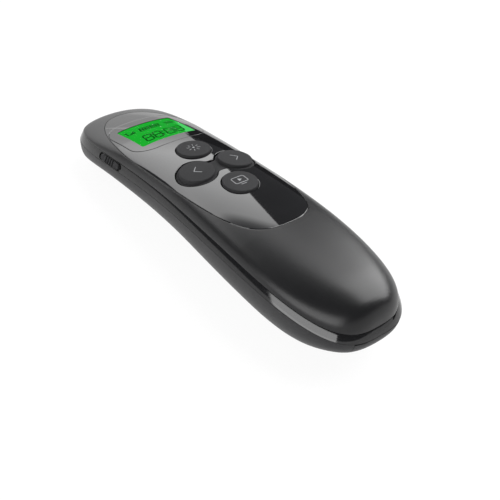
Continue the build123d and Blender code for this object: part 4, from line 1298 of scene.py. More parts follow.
@dataclass
class UpperCover:
    """Upper cover as one closed surface: skin, inner skin, rim, and a lip round the inlay.

    Cross-sections stand at places x along the case. In each the skin runs from the parting edge
    (v = 0) to y = b(x) (v = 1), where b is the half-width of the inlay's opening, or 0 beyond its
    ends. The ledge under the inlay joins the skin to the inner skin at y = max(b - ledge, 0), and
    lies drop below the crown.
    """

    form: CaseForm
    inlay: "Inlay"
    wall: float = 1.8
    ledge: float = 1.6
    drop: float = 1.26
    rounding: float = 0.14
    across: int = 40
    inner_across: int = 8
    curve_steps: int = 26
    opening_steps: int = 44
    least_step: float = 0.012

    def stations(self) -> Array:
        """Places along the case, close together where the outline, crown or opening turns.

        Returns:
            The places' x.
        """
        crown = self.form.crown
        curves = [curve.trace(self.curve_steps) for curve in (crown.outline, crown.peak)]
        curves.append(self.opening().trace(self.opening_steps))
        x = np.unique(np.round(np.concatenate([c[:, 0] for c in curves]), 3))
        return x[np.append(True, np.diff(x) > self.least_step)]

    def opening(self) -> Profile:
        """Edge of the inlay's opening."""
        return self.inlay.outline.inset(-self.form.seam)

    @staticmethod
    def tau_at(dome: Dome, x: Array, y: Array) -> Array:
        """Section parameter where the skin is y from the centre line, and 1 on that line."""
        return np.where(y <= 0, 1.0, dome.tau_over(x, y, halvings=40))

    def lip(self, x: Array, b: Array, shelf: Array) -> list[Array]:
        """Rounded edge round the inlay and the ledge under it, as rows of points along the case.

        The rounding runs through a = 30..90 degrees: y = b + r (1 - sin a) at a depth of
        r (1 - cos a).

        Args:
            x: Places along the case.
            b: Half-width of the opening there, or 0 at its ends.
            shelf: Half-width inside the ledge.

        Returns:
            Rows of points (n, 3), from the skin inwards.
        """
        height, open_here = self.form.crown.height, b > 0
        rows = []
        for angle in np.radians([30.0, 60.0, 90.0]):
            y = b + self.rounding * (1 - np.sin(angle)) * open_here
            down = self.rounding * (1 - np.cos(angle)) * open_here
            rows.append(np.column_stack([x, y, height(x, y) - down]))
        for y in (b, shelf):
            rows.append(np.column_stack([x, y, height(x, y) - self.drop * open_here]))
        return rows

    def build(self) -> bpy.types.Object:
        """The dressed cover.

        Returns:
            The cover's object.
        """
        crown, inner = self.form.crown, self.form.crown_at(self.wall)
        x = self.stations()
        edge = self.opening()
        first, last = edge.nodes[0][0], edge.nodes[-1][0]
        within = (x > first) & (x < last)
        opening = np.where(within, edge.at(x), 0.0)
        x_in = x * inner.outline.nodes[-1][0] / crown.outline.nodes[-1][0]
        shelf = np.clip(opening - self.ledge, 0, None)
        v = np.linspace(0, 1, self.across + 1)[None]
        v_in = np.linspace(0, 1, self.inner_across + 1)[None]
        tau = self.tau_at(crown, x, opening + np.where(within, self.rounding, 0))[:, None] * v
        skin_points = crown.point(x[:, None], tau)
        skin_normals = crown.normal(x[:, None], tau)
        tau_in = self.tau_at(inner, x_in, shelf)[:, None] * v_in
        inner_points = inner.point(x_in[:, None], tau_in)
        inner_points[:, -1, 1] = shelf
        skin_points[:, -1, 1] = np.where(within, skin_points[:, -1, 1], 0.0)
        rim = np.stack([inner_points[:, 0], skin_points[:, 0]], axis=1)
        run = np.flatnonzero(within)
        run = np.concatenate([[run[0] - 1], run, [run[-1] + 1]])
        lip = self.lip(x[run], opening[run], shelf[run])
        strip = np.stack([skin_points[run, -1], *lip, inner_points[run, -1]], axis=1)
        skin = Skin()
        for side in (1, -1):
            mirror, flip = np.array([1, side, 1]), side > 0
            skin.grid(skin_points * mirror, flip=flip, normals=skin_normals * mirror)
            skin.grid(inner_points * mirror, flip=not flip)
            skin.grid(rim * mirror, flip=flip)
            skin.grid(strip * mirror, flip=flip)
        cover = skin.build("top_cover_skin", crease=30)
        return Piece(cover.name, "case", Slot.case_upper, ("top_cover",)).dress(cover)


@dataclass
class TrimRing:
    """Polished ring with a slanted face, carried round the outline, and the slider's recess.

    recess and slot are each a length, a height and a depth below the ring's face.
    """

    form: CaseForm
    steps: int = 90
    rounding: float = 0.16
    usual_height: float = 2.2
    recess: tuple[float, float, float] = (12.8, 2.4, 0.7)
    slot: tuple[float, float, float] = (5.4, 1.6, 5.0)
    crease: float = 25.0

    def path(self) -> tuple[Array, Array]:
        """Points and unit inward directions of the left half, from tail to nose.

        Returns:
            The points and the directions.
        """
        points = self.form.outline.trace(self.steps)
        course = np.gradient(points, axis=0)
        course[0], course[-1] = (0, 1), (0, -1)
        course /= np.linalg.norm(course, axis=1, keepdims=True)
        return points, np.stack([course[:, 1], -course[:, 0]], axis=1)

    def corner_points(self) -> list[tuple[float, float]]:
        """Cross-section as (share of the way in, share of the way up), its outer corners rounded.

        Shares are of lean + land and of the ring's height; each outer corner is three points on a
        cut that is as wide as the rounding.

        Returns:
            The cross-section's corners, from the inner lower one round to the inner upper one.
        """
        reach = self.form.lean + self.form.land
        top = self.form.lean / reach
        small_in, small_up = self.rounding / reach, self.rounding / self.usual_height
        knee_in, knee_up = small_in * 0.3, small_up * 0.12
        return [
            (1.0, 0.0), (small_in, 0.0), (knee_in, knee_up), (small_up * top, small_up),
            (top * (1 - small_up), 1 - small_up), (top + knee_in, 1 - knee_up),
            (top + small_in, 1.0), (1.0, 1.0),
        ]

    def build(self, plane: Array) -> bpy.types.Object:
        """Ring with its recess, as one closed sweep less a round-ended bar and a slot.

        Args:
            plane: Frame of the slider.

        Returns:
            The dressed ring.
        """
        points, inward = self.path()
        reach = self.form.lean + self.form.land
        rows = []
        for into, rise in self.corner_points():
            spot = points + inward * into * reach
            low = self.form.ring_low.at(spot[:, 0]) + self.form.seam
            high = self.form.ring_high.at(spot[:, 0]) - self.form.seam
            rows.append(np.column_stack([spot, low + rise * (high - low)]))
        left = np.stack(rows, axis=1)
        right = left[1:-1][::-1] * np.array([1, -1, 1])
        skin = Skin()
        loop = np.concatenate([left, right]).transpose(1, 0, 2)
        skin.grid(np.concatenate([loop, loop[:1]]), wrap=True, flip=True)
        ring = skin.build("trim_ring_sweep", self.crease)
        length, height, depth = self.recess
        recess = prism(stadium(length, height), -depth, 1.0, plane, "recess_form")
        length, height, depth = self.slot
        block = rectangle(-length / 2, length / 2, -height / 2, height / 2)
        for form in (recess, prism(block, -depth, 0.0, plane, "slot_form")):
            cut(ring, form)
        smooth(ring.data, self.crease)
        ring.name = "trim_ring_gloss"
        return Piece(ring.name, "case", Slot.trim_gloss, ("trim_ring",)).dress(ring)


def stadium(length: float, height: float) -> Array:
    """Anticlockwise loop of a bar with round ends, about the origin.

    Args:
        length, height: Its sizes along X and along Y.

    Returns:
        Points (n, 2).
    """
    r = height / 2
    middle = length / 2 - r
    return np.concatenate([arc((middle, 0), r, -90, 90, 24), arc((-middle, 0), r, 90, 270, 24)])


def prism(loop: Array, low: float, high: float, plane: Array, name: str) -> bpy.types.Object:
    """Closed prism over an anticlockwise loop, as an object of its own."""
    return prism_patch(Skin(), loop, low, high, plane).build(name)


def prism_patch(skin: Skin, loop: Array, low: float, high: float, plane: Array) -> Skin:
    """Sides and two ends of a prism: the loop at two heights, its ends filled with triangles.

    Args:
        skin: Takes the patches.
        loop: Anticlockwise loop (n, 2).
        low, high: The heights.
        plane: Frame in which loop and heights are given.

    Returns:
        The same skin.
    """
    flat, triangles = fill([loop], NO_INNER_POINTS)
    lower, upper = (np.column_stack([flat, np.full(len(flat), z)]) for z in (low, high))
    skin.patch(placed(plane, lower), triangles[:, ::-1]).patch(placed(plane, upper), triangles)
    ring = np.stack([np.column_stack([loop, np.full(len(loop), z)]) for z in (low, high)])
    return skin.grid(placed(plane, ring), wrap=True)


def cut(piece: bpy.types.Object, form: bpy.types.Object) -> None:
    """Take one closed form out of a piece, for good.

    Args:
        piece: The object that keeps its name.
        form: The object that is taken out of it, and then removed.
    """
    change = piece.modifiers.new("cut", "BOOLEAN")
    change.operation, change.object, change.solver = "DIFFERENCE", form, "EXACT"
    bpy.context.view_layer.update()
    graph = bpy.context.evaluated_depsgraph_get()
    mesh = bpy.data.meshes.new_from_object(piece.evaluated_get(graph))
    piece.modifiers.clear()
    old, piece.data = piece.data, mesh
    bpy.data.meshes.remove(old)
    bpy.data.objects.remove(form)


# ---- Inlay and display ---------------------------------------------------------------------------
@dataclass
class Inlay:
    """Piano-black inlay in the crown, with openings for the lens and the keys."""

    form: CaseForm
    outline: Profile = Profile((
        (-29.0, 0, 90, 0, 14.0), (24.0, 15.3, 0, 43.0, 22.0), (58.8, 0, -90, 9.5, 0),
    ))
    thick: float = 1.2
    edge: float = 0.22
    key_room: float = 5.45
    keys_x: tuple[float, float] = (16.0, -7.0)
    lens_x: float = 36.7
    lens_size: tuple[float, float, float] = (23.8, 26.2, 6.5)

    def lens_loop(self, grow: float) -> Array:
        """Outline of the lens, grown all round.

        Args:
            grow: Distance that the outline is moved outwards.

        Returns:
            The outline's points.
        """
        length, width, corner = self.lens_size
        return rounded_rectangle(
            (self.lens_x, 0), length + 2 * grow, width + 2 * grow, corner + grow
        )

    def build(self, rocker: "PageRocker") -> bpy.types.Object:
        """The dressed inlay, whose round holes lean as their keys do.

        Args:
            rocker: Gives the outline of the page keys' base.

        Returns:
            The inlay.
        """
        holes = [Opening(lambda d: self.lens_loop(self.form.seam + d))]
        for x in self.keys_x:
            n = self.form.crown_frame(x)[:3, 2]
            holes.append(Opening(lambda d, x=x: circle((x, 0), self.key_room + d), -n[0] / n[2]))
        holes.append(Opening(lambda d: rocker.outline(rocker.room + d)))
        outer = Opening(lambda d: both_sides(self.outline.inset(d).trace(90)))
        sheet = SkinSheet(self.form.crown, outer, tuple(holes), self.thick, edge=self.edge)
        made = sheet.build(Skin()).build("front_panel_inlay", crease=20)
        return Piece(made.name, "case", Slot.panel_gloss, ("front_panel",)).dress(made)


@dataclass
class DisplayWindow:
    """Lens over the display: black-backed border, clear middle, lit face and its symbols.

    The lit face reaches lap under the border, and lies glue below it.
    """

    form: CaseForm
    inlay: Inlay
    window_x: tuple[float, float] = (28.6, 44.6)
    window_half: float = 9.9
    window_corner: float = 0.8
    fit: float = 0.005
    lap: float = 0.9
    glue: float = 0.01
    ink_thick: float = 0.02
    border_thick: float = 0.3
    clear_thick: float = 0.25
    face_thick: float = 0.45

    def window_loop(self, grow: float) -> Array:
        """Outline of the clear middle.

        Args:
            grow: How far it is grown all round.

        Returns:
            Its anticlockwise loop.
        """
        x0, x1 = self.window_x
        length, width = x1 - x0 + 2 * grow, 2 * (self.window_half + grow)
        return rounded_rectangle(((x0 + x1) / 2, 0), length, width, self.window_corner + grow, 6)

    def build(self) -> list[bpy.types.Object]:
        """Border, window, lit face and symbols.

        Returns:
            Their objects.
        """
        crown = self.form.crown
        border = SkinSheet(
            crown, Opening(lambda d: self.inlay.lens_loop(-d)), (Opening(self.window_loop),),
            self.border_thick, edge=0.08,
        )
        window = SkinSheet(
            crown, Opening(lambda d: self.window_loop(-self.fit - d)), (),
            self.clear_thick, edge=0.02,
        )
        face = SkinSheet(
            crown, Opening(lambda d: self.window_loop(self.lap - d)), (),
            self.face_thick, self.border_thick + self.glue, edge=0.02,
        )
        made = []
        for sheet, name, slot, nodes, ink in (
            (border, "display_lens_border", Slot.clear_lens, ("display_lens",), Ink.lens_backing),
            (window, "display_window", Slot.clear_lens, (), Ink.window_coating),
            (face, "display_lit_face", Slot.display_glass, (), None),
        ):
            piece = sheet.build(Skin()).build(name, crease=20)
            made.append(Piece(name, "case", slot, nodes, ink).dress(piece))
        return [*made, self.symbols()]

    def symbols(self) -> bpy.types.Object:
        """Signal mast, level bars, battery and a clock reading, as thin slabs on the lit face.

        Returns:
            The symbols' object.
        """
        skin = Skin()
        level = self.border_thick + self.glue - self.ink_thick
        middle = np.array([self.inlay.lens_x, 0.0])
        for loop in DisplaySymbols().loops():
            plan = np.stack([loop[:, 1], -loop[:, 0]], axis=1) + middle
            slab = SkinSheet(
                self.form.crown, Opening(lambda d, plan=plan: plan), (),
                2 * self.ink_thick, level, edge=0.0, spacing=NO_INNER_POINTS,
            )
            slab.build(skin)
        made = skin.build("display_symbols")
        return Piece(made.name, "case", Slot.display_glass, (), Ink.display_symbol).dress(made)


@dataclass
class DisplaySymbols:
    """Loops of the symbols, in millimetres: first number to the reader's right, second upwards.

    digit is a figure's width and height. The figures stand on low; the other symbols are centred
    on top_row.
    """

    digit: tuple[float, float] = (2.6, 4.5)
    stroke: float = 0.52
    slant: float = 0.14
    low: float = -5.7
    top_row: float = 3.6
    bar_height: float = 2.9
    gap: float = 0.12
    figures_x: tuple[float, ...] = (-6.6, -3.1, 1.2, 4.7)

    def segment(self, x: float, y: float, length: float, upright: bool) -> Array:
        """Six-sided segment: a bar whose ends taper to a right angle.

        Args:
            x, y: Its middle.
            length: From tip to tip.
            upright: Whether it stands instead of lying.

        Returns:
            Its anticlockwise loop.
        """
        h, l = self.stroke / 2, length / 2
        bar = np.array([(-l, 0), (h - l, -h), (l - h, -h), (l, 0), (l - h, h), (h - l, h)])
        if upright:
            bar = bar[:, ::-1] * np.array([-1, 1])
        return bar + (x, y)

    def figure(self, x: float) -> list[Array]:
        """All seven segments of one figure, leaning a little to the right.

        Args:
            x: Where the figure's left side stands.

        Returns:
            The segments' loops.
        """
        w, h = self.digit
        parts = [
            self.segment(w / 2, k * h / 2, w - self.gap - 0.1, False) for k in range(3)
        ] + [
            self.segment(side * w, h / 4 + k * h / 2, h / 2 - self.gap, True)
            for side in (0, 1) for k in (0, 1)
        ]
        return [p + np.stack([x + self.slant * p[:, 1], 0 * p[:, 1] + self.low], 1) for p in parts]

    def loops(self) -> list[Array]:
        """Every symbol's loop.

        Returns:
            The points of each loop.
        """
        shapes = [part for x in self.figures_x for part in self.figure(x)]
        for y in (1.2, 2.9):
            x, foot = self.slant * y, self.low + y
            shapes.append(rectangle(-0.05 + x, 0.45 + x, foot, foot + 0.55))
        return shapes + self.signal() + self.level_bars() + self.battery()

    def signal(self) -> list[Array]:
        """Mast under an aerial, and four rising steps.

        Returns:
            Their loops.
        """
        t = self.top_row
        mast = rectangle(-8.6, -8.25, t - 1.0, t + 1.0)
        steps = [
            rectangle(-7.9 + 0.55 * i, -7.5 + 0.55 * i, t - 1.0, t - 0.4 + 0.42 * i)
            for i in range(4)
        ]
        aerial = np.array([(-9.15, t + 1.45), (-8.42, t + 0.75), (-7.7, t + 1.45)])
        return [mast, *steps, aerial]

    def level_bars(self) -> list[Array]:
        """Eight leaning bars side by side.

        Returns:
            Their loops.
        """
        t, half = self.top_row, self.bar_height / 2
        lean = self.slant * 2 * self.bar_height
        bar = np.array([(0, t - half), (0.56, t - half), (0.56 + lean, t + half), (lean, t + half)])
        return [bar + np.array([-4.4 + 0.98 * i, 0]) for i in range(8)]

    def battery(self) -> list[Array]:
        """Case of four strips, its nub, and three cells.

        Returns:
            Their loops.
        """
        t = self.top_row
        case = [
            rectangle(5.6, 8.4, t + 0.65, t + 0.95), rectangle(5.6, 8.4, t - 0.95, t - 0.65),
            rectangle(5.6, 5.9, t - 0.65, t + 0.65), rectangle(8.1, 8.4, t - 0.65, t + 0.65),
        ]
        nub = rectangle(8.4, 8.75, t - 0.35, t + 0.35)
        cells = [rectangle(6.15 + 0.62 * i, 6.6 + 0.62 * i, t - 0.4, t + 0.4) for i in range(3)]
        return [*case, nub, *cells]


# ---- Keys ----------------------------------------------------------------------------------------
@dataclass
class KeyCap:
    """Turned form of a key: faintly domed face, rounded rim, upright wall.

    The face's height is proud - r^2 / (2 R) for a dome of radius R.
    """

    radius: float = 5.25
    proud: float = 0.8
    dome: float = 60.0
    rim: float = 0.32

    def face(self, r: Array) -> Array:
        """Height of the face at a distance from the axis."""
        return self.proud - r**2 / (2 * self.dome)

    def profile(self, below: list[tuple[float, float]]) -> Array:
        """Radius and height from the middle of the face to the bottom.

        Args:
            below: The points that follow the wall, down to the axis.

        Returns:
            Points (n, 2).
        """
        flat = np.linspace(0, self.radius - self.rim, 14)
        edge = self.face(np.array(self.radius - self.rim))
        a = np.radians(np.linspace(90, 0, 7))[1:]
        round_r = self.radius - self.rim + self.rim * np.cos(a)
        round_z = edge - self.rim + self.rim * np.sin(a)
        upper = np.column_stack([np.append(flat, round_r), np.append(self.face(flat), round_z)])
        return np.concatenate([upper, np.array(below, dtype=float)])


@dataclass
class Symbol:
    """Pad-printed lines on a key's face: strokes given as (right, up) points in millimetres."""

    cap: KeyCap
    frame: Array
    width: float = 0.2
    thick: float = 0.025
    sunk: float = 0.006

    def stroke(self, skin: Skin, line: Array, closed: bool = False) -> None:
        """Raised line of even width: the line's two offsets, in the face and just above it.

        Args:
            skin: Takes the patches.
            line: Points (n, 2) along its middle.
            closed: Whether its end joins its start.
        """
        if closed:
            course = np.roll(line, -1, axis=0) - np.roll(line, 1, axis=0)
        else:
            course = np.gradient(line, axis=0)
        course = course / (np.linalg.norm(course, axis=1, keepdims=True) + 1e-9)
        side = np.stack([course[:, 1], -course[:, 0]], axis=1) * self.width / 2
        rows = []
        for shift, lift in ((-1, 0), (-1, 1), (1, 1), (1, 0), (-1, 0)):
            at = line + shift * side
            height = self.cap.face(np.hypot(*at.T)) - self.sunk + lift * self.thick
            rows.append(np.column_stack([at[:, 1], -at[:, 0], height]))
        grid = placed(self.frame, np.stack(rows))
        skin.grid(grid, wrap=closed, flip=True)
        if not closed:
            for end, flip in ((0, False), (-1, True)):
                quad = np.array([[0, 1, 2, 3]])
                skin.patch(grid[:4, end], quad if flip else quad[:, ::-1])

    def area(self, skin: Skin, loop: Array) -> None:
        """Raised flat patch, at the height of the face under its middle.

        Args:
            skin: Takes the patches.
            loop: Anticlockwise loop (n, 2).
        """
        plan = np.stack([loop[:, 1], -loop[:, 0]], axis=1)
        level = float(self.cap.face(np.hypot(*loop.mean(axis=0))))
        prism_patch(skin, plan, level - 0.02, level - self.sunk + self.thick, self.frame)


class Sign(Enum):
    """What a key does."""

    laser = "sun-burst round a dot"
    back = "chevron to the left"
    on = "chevron to the right"
    show = "screen with a start mark on a stand"


def dense(*corners: tuple[float, float], step: float = 0.12) -> Array:
    """Points along straight runs through corners.

    Args:
        corners: Two or more points.
        step: About how far apart the points lie.

    Returns:
        Points (n, 2), both ends included.
    """
    runs = []
    for a, b in zip(np.array(corners, dtype=float), np.array(corners[1:], dtype=float)):
        n = max(2, int(np.hypot(*(b - a)) / step))
        runs.append(a + np.linspace(0, 1, n, endpoint=False)[:, None] * (b - a))
    return np.concatenate([*runs, np.array(corners[-1:], dtype=float)])


def draw_sign(symbol: Symbol, sign: Sign, name: str) -> bpy.types.Object:
    """Mesh of one printed sign.

    Args:
        symbol: Pen on the key's face.
        sign: Which sign.
        name: Name of the piece.

    Returns:
        The mesh object, not yet dressed.
    """
    skin = Skin()
    match sign:
        case Sign.laser:
            symbol = replace(symbol, width=0.16)
            symbol.area(skin, circle((0, 0), 0.34, 24))
            for k in range(8):
                a = (k + 0.5) * np.pi / 4
                ray = np.array([np.cos(a), np.sin(a)])
                symbol.stroke(skin, dense(tuple(1.15 * ray), tuple(2.1 * ray)))
        case Sign.back:
            symbol.stroke(skin, dense((0.75, 1.65), (-0.95, 0.0), (0.75, -1.65)))
        case Sign.on:
            symbol.stroke(skin, dense((-0.75, 1.65), (0.95, 0.0), (-0.75, -1.65)))
        case Sign.show:
            frame = rounded_rectangle((0, 0.35), 4.3, 2.9, 0.45, 6)
            symbol.stroke(skin, frame, closed=True)
            symbol.area(skin, np.array([(-0.45, -0.35), (0.75, 0.35), (-0.45, 1.05)]))
            symbol.stroke(skin, dense((-0.95, -1.85), (0.95, -1.85)))
    return skin.build(name)


@dataclass
class RoundKey:
    """One of the two single keys: cap, flange behind the inlay's bed, and stem over its switch.

    stem is the stem's radius; pressed home by travel, it still ends gap above the switch.
    """

    form: CaseForm
    name: str
    body: str
    node: str
    x: float
    sign: Sign
    flange_radius: float = 6.0
    flange_thick: float = 0.6
    bed: float = 2.4
    stem: float = 1.5
    travel: float = 0.5
    gap: float = 0.2

    def build(self) -> list[bpy.types.Object]:
        """Key and its printed sign.

        Returns:
            The objects of the key and its sign.
        """
        frame, cap = self.form.crown_frame(self.x), KeyCap()
        x, across = np.full(2, self.x), np.array([0.0, self.flange_radius])
        over_middle, over_rim = self.form.crown.height(x, across)
        top = -self.bed - float(over_middle - over_rim) - self.form.seam
        tilt = float(np.hypot(frame[0, 2], frame[1, 2]))
        switch_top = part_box("dome_switches")[1][2] / MM
        bottom = switch_top + self.travel + self.gap + self.stem * tilt - frame[2, 3]
        low = top - self.flange_thick
        profile = cap.profile([
            (cap.radius, top), (self.flange_radius, top), (self.flange_radius, low),
            (self.stem, low), (self.stem, bottom), (0, bottom),
        ])
        key = Skin().turned(profile, frame).build(f"{self.name}_key", crease=30)
        sign = draw_sign(Symbol(cap, frame), self.sign, f"{self.name}_sign")
        return [
            Piece(key.name, self.body, Slot.keys, (self.node,)).dress(key),
            Piece(sign.name, self.body, Slot.keys, (), Ink.key_symbol).dress(sign),
        ]


@dataclass
class PageRocker:
    """Two pads on one waisted base that tilts on pins under its neck.

    neck, pin_reach and web are lengths: the neck's width, the pin's length to each side, and half
    the length of the web that carries the pins.
    """

    form: CaseForm
    x: float = 4.5
    pitch: float = 13.8
    base_radius: float = 5.95
    neck: float = 5.6
    fillet: float = 1.6
    sunk: float = 0.3
    room: float = 0.3
    bed: float = 2.4
    pin_depth: float = 3.2
    pin_radius: float = 0.6
    pin_reach: float = 4.8
    pad_root: float = 1.5
    stem_radius: float = 1.5
    stem_root: float = 1.2
    web: float = 1.2

    @staticmethod
    def rod(radius: float, top: float, bottom: float) -> Array:
        """Radius and height of a plain round rod, from top to bottom."""
        return np.array([(0, top), (radius, top), (radius, bottom), (0, bottom)])

    def outline(self, grow: float) -> Array:
        """Anticlockwise loop of two discs joined by a neck, with a fillet in each inner corner.

        A fillet of radius f touches the neck's side at x = n and the disc of radius r: its centre
        is at (n + f, y) with (n + f)^2 + (pitch/2 - y)^2 = (r + f)^2.

        Args:
            grow: How far the discs and the neck are grown; the fillets keep their radius.

        Returns:
            Points (n, 2).
        """
        r, n, f, half = self.base_radius + grow, self.neck / 2 + grow, self.fillet, self.pitch / 2
        y = half - np.sqrt((r + f) ** 2 - (n + f) ** 2)
        touch = np.degrees(np.arctan2(half - y, n + f))
        disc = arc((0, half), r, -touch, 180 + touch, 72)
        left = arc((-(n + f), y), f, touch, 0, 8)[1:]
        lower_left = arc((-(n + f), -y), f, 0, -touch, 8)
        other = arc((0, -half), r, 180 - touch, 360 + touch, 72)[1:]
        lower_right = arc((n + f, -y), f, 180 + touch, 180, 8)[1:]
        upper_right = arc((n + f, y), f, 180, 180 - touch, 8)[:-1]
        loop = np.concatenate([disc, left, lower_left, other, lower_right, upper_right])
        return loop + np.array([self.x, 0])

    def build(self) -> list[bpy.types.Object]:
        """Base with pads, stems and pins, and the two signs.

        Returns:
            The objects of the rocker and its signs.
        """
        skin = Skin()
        SkinSheet(
            self.form.crown, Opening(lambda d: self.outline(-d)), (),
            self.bed - self.sunk, self.sunk, edge=0.18, spacing=1.2,
        ).build(skin)
        cap, made = KeyCap(), []
        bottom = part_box("page_rocker")[0][2] / MM
        for name, side, sign in (("back", 1, Sign.back), ("forward", -1, Sign.on)):
            frame = self.form.crown_frame(self.x, side * self.pitch / 2)
            skin.turned(cap.profile([(cap.radius, -self.pad_root), (0, -self.pad_root)]), frame)
            upright = np.eye(4)
            upright[:3, 3] = self.x, side * self.pitch / 2, 0
            stem = self.rod(self.stem_radius, frame[2, 3] - self.stem_root, bottom)
            skin.turned(stem, upright, 48)
            printed = draw_sign(Symbol(cap, frame), sign, f"{name}_sign")
            piece = Piece(printed.name, "rocker", Slot.keys, (), Ink.key_symbol)
            made.append(piece.dress(printed))
        pivot = self.form.crown_frame(self.x)
        pivot[:3, 3] -= self.pin_depth * pivot[:3, 2]
        along = pivot.copy()
        along[:3, 0], along[:3, 2] = -pivot[:3, 2], pivot[:3, 0]
        skin.turned(self.rod(self.pin_radius, self.pin_reach, -self.pin_reach), along, 32)
        web = rectangle(-self.neck / 2, self.neck / 2, -self.web, self.web)
        prism_patch(skin, web, -self.pin_radius, self.pin_depth - 1.2, pivot)
        rocker = skin.build("page_rocker_keys", crease=30)
        return [Piece(rocker.name, "rocker", Slot.keys, ("page_rocker",)).dress(rocker), *made]


# ---- Power slider --------------------------------------------------------------------------------
@dataclass
class PowerSlider:
    """Grooved knob in the ring, its stem, and the plate behind its slot.

    stem and plate are each a length and a width, and where they start and end along their frame's
    Z. The plate stands level inside the case, plate_y from the middle plane.
    """

    form: CaseForm
    x: float = 36.8
    length: float = 10.4
    height: float = 2.0
    proud: float = 0.25
    depth: float = 0.64
    grooves: int = 4
    pitch: float = 1.25
    groove: float = 0.7
    groove_depth: float = 0.55
    groove_slope: float = 0.06
    rounding: float = 0.16
    stem: tuple[float, float, float, float] = (3.0, 1.2, -2.7, -0.5)
    plate: tuple[float, float, float, float] = (4.2, 0.6, -1.15, 1.15)
    plate_y: float = 15.05
    plate_drop: float = 0.15

    @cached_property
    def plane(self) -> Array:
        """Frame on the ring's slanted face: X along the ring, Z leaving the case.

        Returns:
            The frame.
        """
        x = np.array([self.x - 1, self.x, self.x + 1])
        half = self.form.outline.at(x) - self.form.lean / 2
        low, high = self.form.ring_low.at(x), self.form.ring_high.at(x)
        spots = np.column_stack([x, half, (low + high) / 2])
        along = spots[2] - spots[0]
        along /= np.linalg.norm(along)
        out = np.cross([0, -self.form.lean, high[1] - low[1]], along)
        out /= np.linalg.norm(out)
        frame = np.eye(4)
        frame[:3, :3] = np.column_stack([along, np.cross(out, along), out])
        frame[:3, 3] = spots[1]
        return frame

    def knob_face(self) -> Array:
        """Grid of the knob's face: across = v w(x), height = proud - groove(x) - edge(v).

        w(x) is the half-width of a bar with round ends; groove(x) is a flat-bottomed notch with
        steep sides, and edge(v) is a quarter ellipse over the last fifth of |v|.

        Returns:
            Points (rows, columns, 3) in the slider's own frame.
        """
        r, half = self.height / 2, self.length / 2
        straight = half - r
        ends = straight + r * np.sin(np.radians(np.linspace(0, 90, 14)))
        middles = (np.arange(self.grooves) - (self.grooves - 1) / 2) * self.pitch
        g, slope = self.groove / 2, self.groove_slope
        notches = [middle + np.array([-g, -g + slope, g - slope, g]) for middle in middles]
        runs = [-ends, np.linspace(-half + r, straight, 41), ends, *notches]
        x = np.unique(np.round(np.concatenate(runs), 4))
        bar = np.sqrt(np.clip(r**2 - np.clip(np.abs(x) - straight, 0, None) ** 2, 0, None))
        away = np.min(np.abs(x[:, None] - middles[None]), axis=1)
        dip = self.groove_depth * np.clip((g - away) / slope, 0, 1)
        v = np.sin(np.radians(np.linspace(-90, 90, 19)))
        to_edge = np.clip((np.abs(v) - 0.8) / 0.2, 0, 1)
        fall = self.rounding * (1 - np.sqrt(np.clip(1 - to_edge**2, 0, 1)))
        height = self.proud - dip[:, None] - fall[None]
        return np.stack(np.broadcast_arrays(x[:, None], v[None] * bar[:, None], height), axis=-1)

    def build(self) -> bpy.types.Object:
        """Knob, closed by its walls and back, and the fittings behind it.

        Returns:
            The knob's object.
        """
        top = self.knob_face()
        bottom = top.copy()
        bottom[..., 2] = -self.depth
        skin = Skin()
        skin.grid(placed(self.plane, top), flip=True).grid(placed(self.plane, bottom))
        for edge, flip in ((0, True), (-1, False)):
            wall = np.stack([top[:, edge], bottom[:, edge]])
            skin.grid(placed(self.plane, wall), flip=flip)
        level = np.eye(4)
        level[:3, 3] = self.plane[0, 3], self.plate_y, self.plane[2, 3] - self.plate_drop
        for (length, width, low, high), frame in ((self.stem, self.plane), (self.plate, level)):
            block = rectangle(-length / 2, length / 2, -width / 2, width / 2)
            prism_patch(skin, block, low, high, frame)
        knob = skin.build("power_slider_knob", crease=30)
        return Piece(knob.name, "slider", Slot.keys, ("power_slider",)).dress(knob)


# ---- Inner pieces --------------------------------------------------------------------------------
@dataclass
class InnerPieces:
    """Boards, cells, contacts and receiver: the solids stay, in the finish of their own slot."""

    nodes: dict[str, bpy.types.Object]
    record: dict

    def build(self, hidden: set[str]) -> None:
        """Dress every node that no piece stands for.

        Args:
            hidden: Nodes that other pieces replace.
        """
        for part in self.record["subparts"]:
            name = part["node"]
            if name in hidden or name not in self.nodes:
                continue
            slot = Slot[part["material_slot"]]
            for place in self.nodes[name].material_slots:
                place.material = slot.material
            LOG.info("%s: solid kept, %s", name, slot.value.name)


